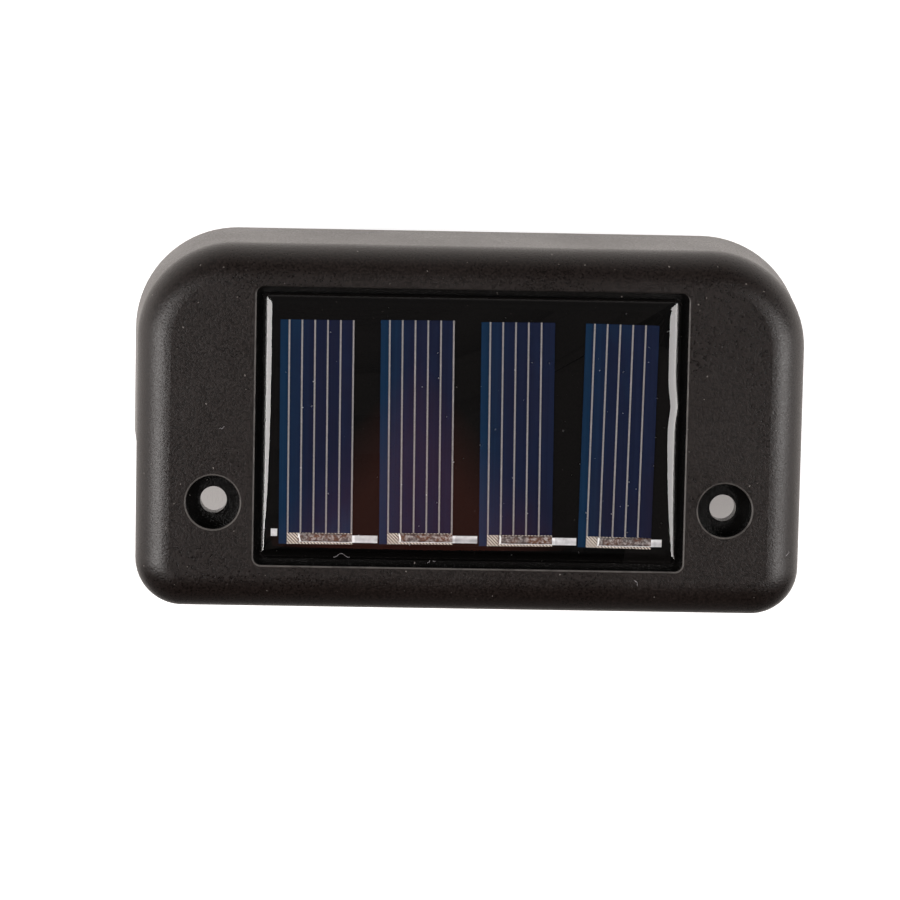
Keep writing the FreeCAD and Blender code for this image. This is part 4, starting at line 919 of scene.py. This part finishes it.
def boxMask(tree, spot, middle, half, fade):
    # 1 outside the rectangle on the table, 0 inside it
    beyond = [addMath(tree, "SUBTRACT", addMath(tree, "ABSOLUTE", addMath(
        tree, "SUBTRACT", spot[axis], middle[axis])), half[axis]) for axis in (0, 1)]
    return addRange(tree, addMath(tree, "MAXIMUM", *beyond), -fade, 0.0)


def makeTable():
    half = stage["table"] / 2
    z = cadBox[0][2] - stage["gap"]
    mesh = bpy.data.meshes.new("table")
    corners = [(-half, -half, z), (half, -half, z), (half, half, z), (-half, half, z)]
    mesh.from_pydata(corners, [], [(0, 1, 2, 3)])
    table = bpy.data.objects.new("table", mesh)
    scene.collection.objects.link(table)
    material, tree, shader = newFinish("tablePaper", roughness=0.9, specular=0.1)
    seen = addNode(tree, "ShaderNodeLightPath").outputs
    mirrored = addMath(tree, "MAXIMUM", seen["Is Glossy Ray"], seen["Is Transmission Ray"])
    tree.links.new(addMix(tree, seen["Is Camera Ray"], (*stage["glossTint"], 1), (1, 1, 1, 1)),
                   shader.inputs["Emission Color"])
    # under the lamp, and in the shade of its rear overhang, the paper keeps its own shade
    position = addNode(tree, "ShaderNodeNewGeometry").outputs["Position"]
    spot = splitUp(tree, position)
    shown = addMath(tree, "MULTIPLY", boxMask(tree, spot, **stage["shaded"]), stage["lift"])
    openAir = boxMask(tree, spot, stage["middle"], stage["half"], stage["fade"])
    rear = addRange(tree, spot["Y"], *stage["rear"])
    glow = addMath(tree, "MULTIPLY", addMath(tree, "MULTIPLY", openAir, rear), stage["glossLift"])
    unlit = addMath(tree, "MULTIPLY", mirrored, addMath(tree, "SUBTRACT", 1.0, rear))
    paper = addMix(tree, unlit, (*stage["paper"], 1), (*stage["unlit"], 1))
    tree.links.new(paper, shader.inputs["Base Color"])
    share = addMath(tree, "ADD", addMath(tree, "MULTIPLY", seen["Is Camera Ray"], shown),
                    addMath(tree, "MULTIPLY", mirrored, glow))
    # the paper sends a little light back up to the lamp's underside
    under = addMath(tree, "SUBTRACT", 1.0, boxMask(tree, spot, **stage["footprint"]))
    unseen = addMath(tree, "SUBTRACT", 1.0, seen["Is Camera Ray"])
    lowGlow = addMath(tree, "MULTIPLY", addMath(tree, "MULTIPLY", under, stage["underGlow"]), unseen)
    tree.links.new(addMath(tree, "ADD", share, lowGlow), shader.inputs["Emission Strength"])
    hidden = addNode(tree, "ShaderNodeBsdfTransparent")
    behind = addNode(tree, "ShaderNodeNewGeometry").outputs["Backfacing"]
    blend = addNode(tree, "ShaderNodeMixShader", {0: behind, 1: shader.outputs[0], 2: hidden.outputs[0]})
    tree.links.new(blend.outputs[0], tree.nodes["Material Output"].inputs["Surface"])
    mesh.materials.append(material)


room = {
    "horizon": (0.85, 0.80, 0.77),
    "wall": (0.50, 0.47, 0.455),
    "wallHeight": 0.22,
    "overhead": (0.05, 0.05, 0.05),
    "overheadHeight": 0.62,
    "rear": (0.03, 0.30, 1.0, 0.06),
}
# a warm thing overhead, which the resin mirrors
warmThing = {"across": (-0.019, 0.036), "along": (0.1404, 0.0442), "colour": (0.30, 0.09, 0.065)}


def makeWorld():
    world = bpy.data.worlds.new("studio")
    scene.world = world
    world.use_nodes = True
    tree = world.node_tree
    tree.nodes.clear()
    up = splitUp(tree, addNode(tree, "ShaderNodeTexCoord").outputs["Generated"])
    height = addNode(tree, "ShaderNodeValToRGB", {"Fac": up["Z"]})
    stops = height.color_ramp
    stops.elements[0].position, stops.elements[0].color = 0.0, (*room["horizon"], 1)
    stops.elements[1].position, stops.elements[1].color = room["overheadHeight"], (*room["overhead"], 1)
    stops.elements.new(room["wallHeight"]).color = (*room["wall"], 1)
    # the room is dark behind the camera, on the lamp's rear side
    dim = addRange(tree, up["Y"], *room["rear"])
    around = addScale(tree, height.outputs["Color"], dim)
    shares = []
    for axis, middle, half in (("X", *warmThing["across"]), ("Y", *warmThing["along"])):
        lean = addMath(tree, "SUBTRACT", addMath(tree, "DIVIDE", up[axis], up["Z"]), middle)
        shares.append(addMath(tree, "DIVIDE", addMath(tree, "ABSOLUTE", lean), half))
    near = addRange(tree, addMath(tree, "ADD", *shares), 1.15, 0.65)
    above = addMath(tree, "GREATER_THAN", up["Z"], 0.5)
    around = addMix(tree, addMath(tree, "MULTIPLY", near, above), around, (*warmThing["colour"], 1))
    seen = addNode(tree, "ShaderNodeLightPath").outputs["Is Camera Ray"]
    colour = addMix(tree, seen, around, (1, 1, 1, 1))
    light = addNode(tree, "ShaderNodeBackground", {"Color": colour, "Strength": 1.0})
    out = addNode(tree, "ShaderNodeOutputWorld")
    tree.links.new(light.outputs[0], out.inputs["Surface"])


softboxes = {
    "boxLeft": {"place": (0.41, 0.03, 0.435), "size": (0.36, 0.26), "brightness": 7.8,
                "colour": (1.0, 0.965, 0.95)},
    "boxRight": {"place": (-0.425, 0.03, 0.415), "size": (0.36, 0.26), "brightness": 6.1,
                 "colour": (1.0, 0.965, 0.95)},
    "lowLeft": {"place": (0.46, 0.03, 0.13), "size": (0.36, 0.24), "brightness": 1.1,
                "colour": (1.0, 0.95, 0.93)},
    "lowRight": {"place": (-0.46, 0.03, 0.13), "size": (0.36, 0.24), "brightness": 1.0,
                 "colour": (1.0, 0.95, 0.93)},
}


def makeSoftboxes():
    for name, look in softboxes.items():
        data = bpy.data.lights.new(name, "AREA")
        data.shape = "RECTANGLE"
        data.size, data.size_y = look["size"]
        data.energy = math.pi * look["size"][0] * look["size"][1] * look["brightness"]
        data.color = look["colour"]
        lamp = bpy.data.objects.new(name, data)
        scene.collection.objects.link(lamp)
        away = (Vector(look["place"]) - Vector(view["aim"])).normalized()
        across = Vector((0, 1, 0)).cross(away).normalized()
        along = away.cross(across)
        rows = [(across[i], along[i], away[i], look["place"][i]) for i in range(3)]
        lamp.matrix_world = Matrix(rows + [(0, 0, 0, 1)])
        lamp.visible_camera = False


makeTable()
makeWorld()
makeSoftboxes()
print("stage and lights set")
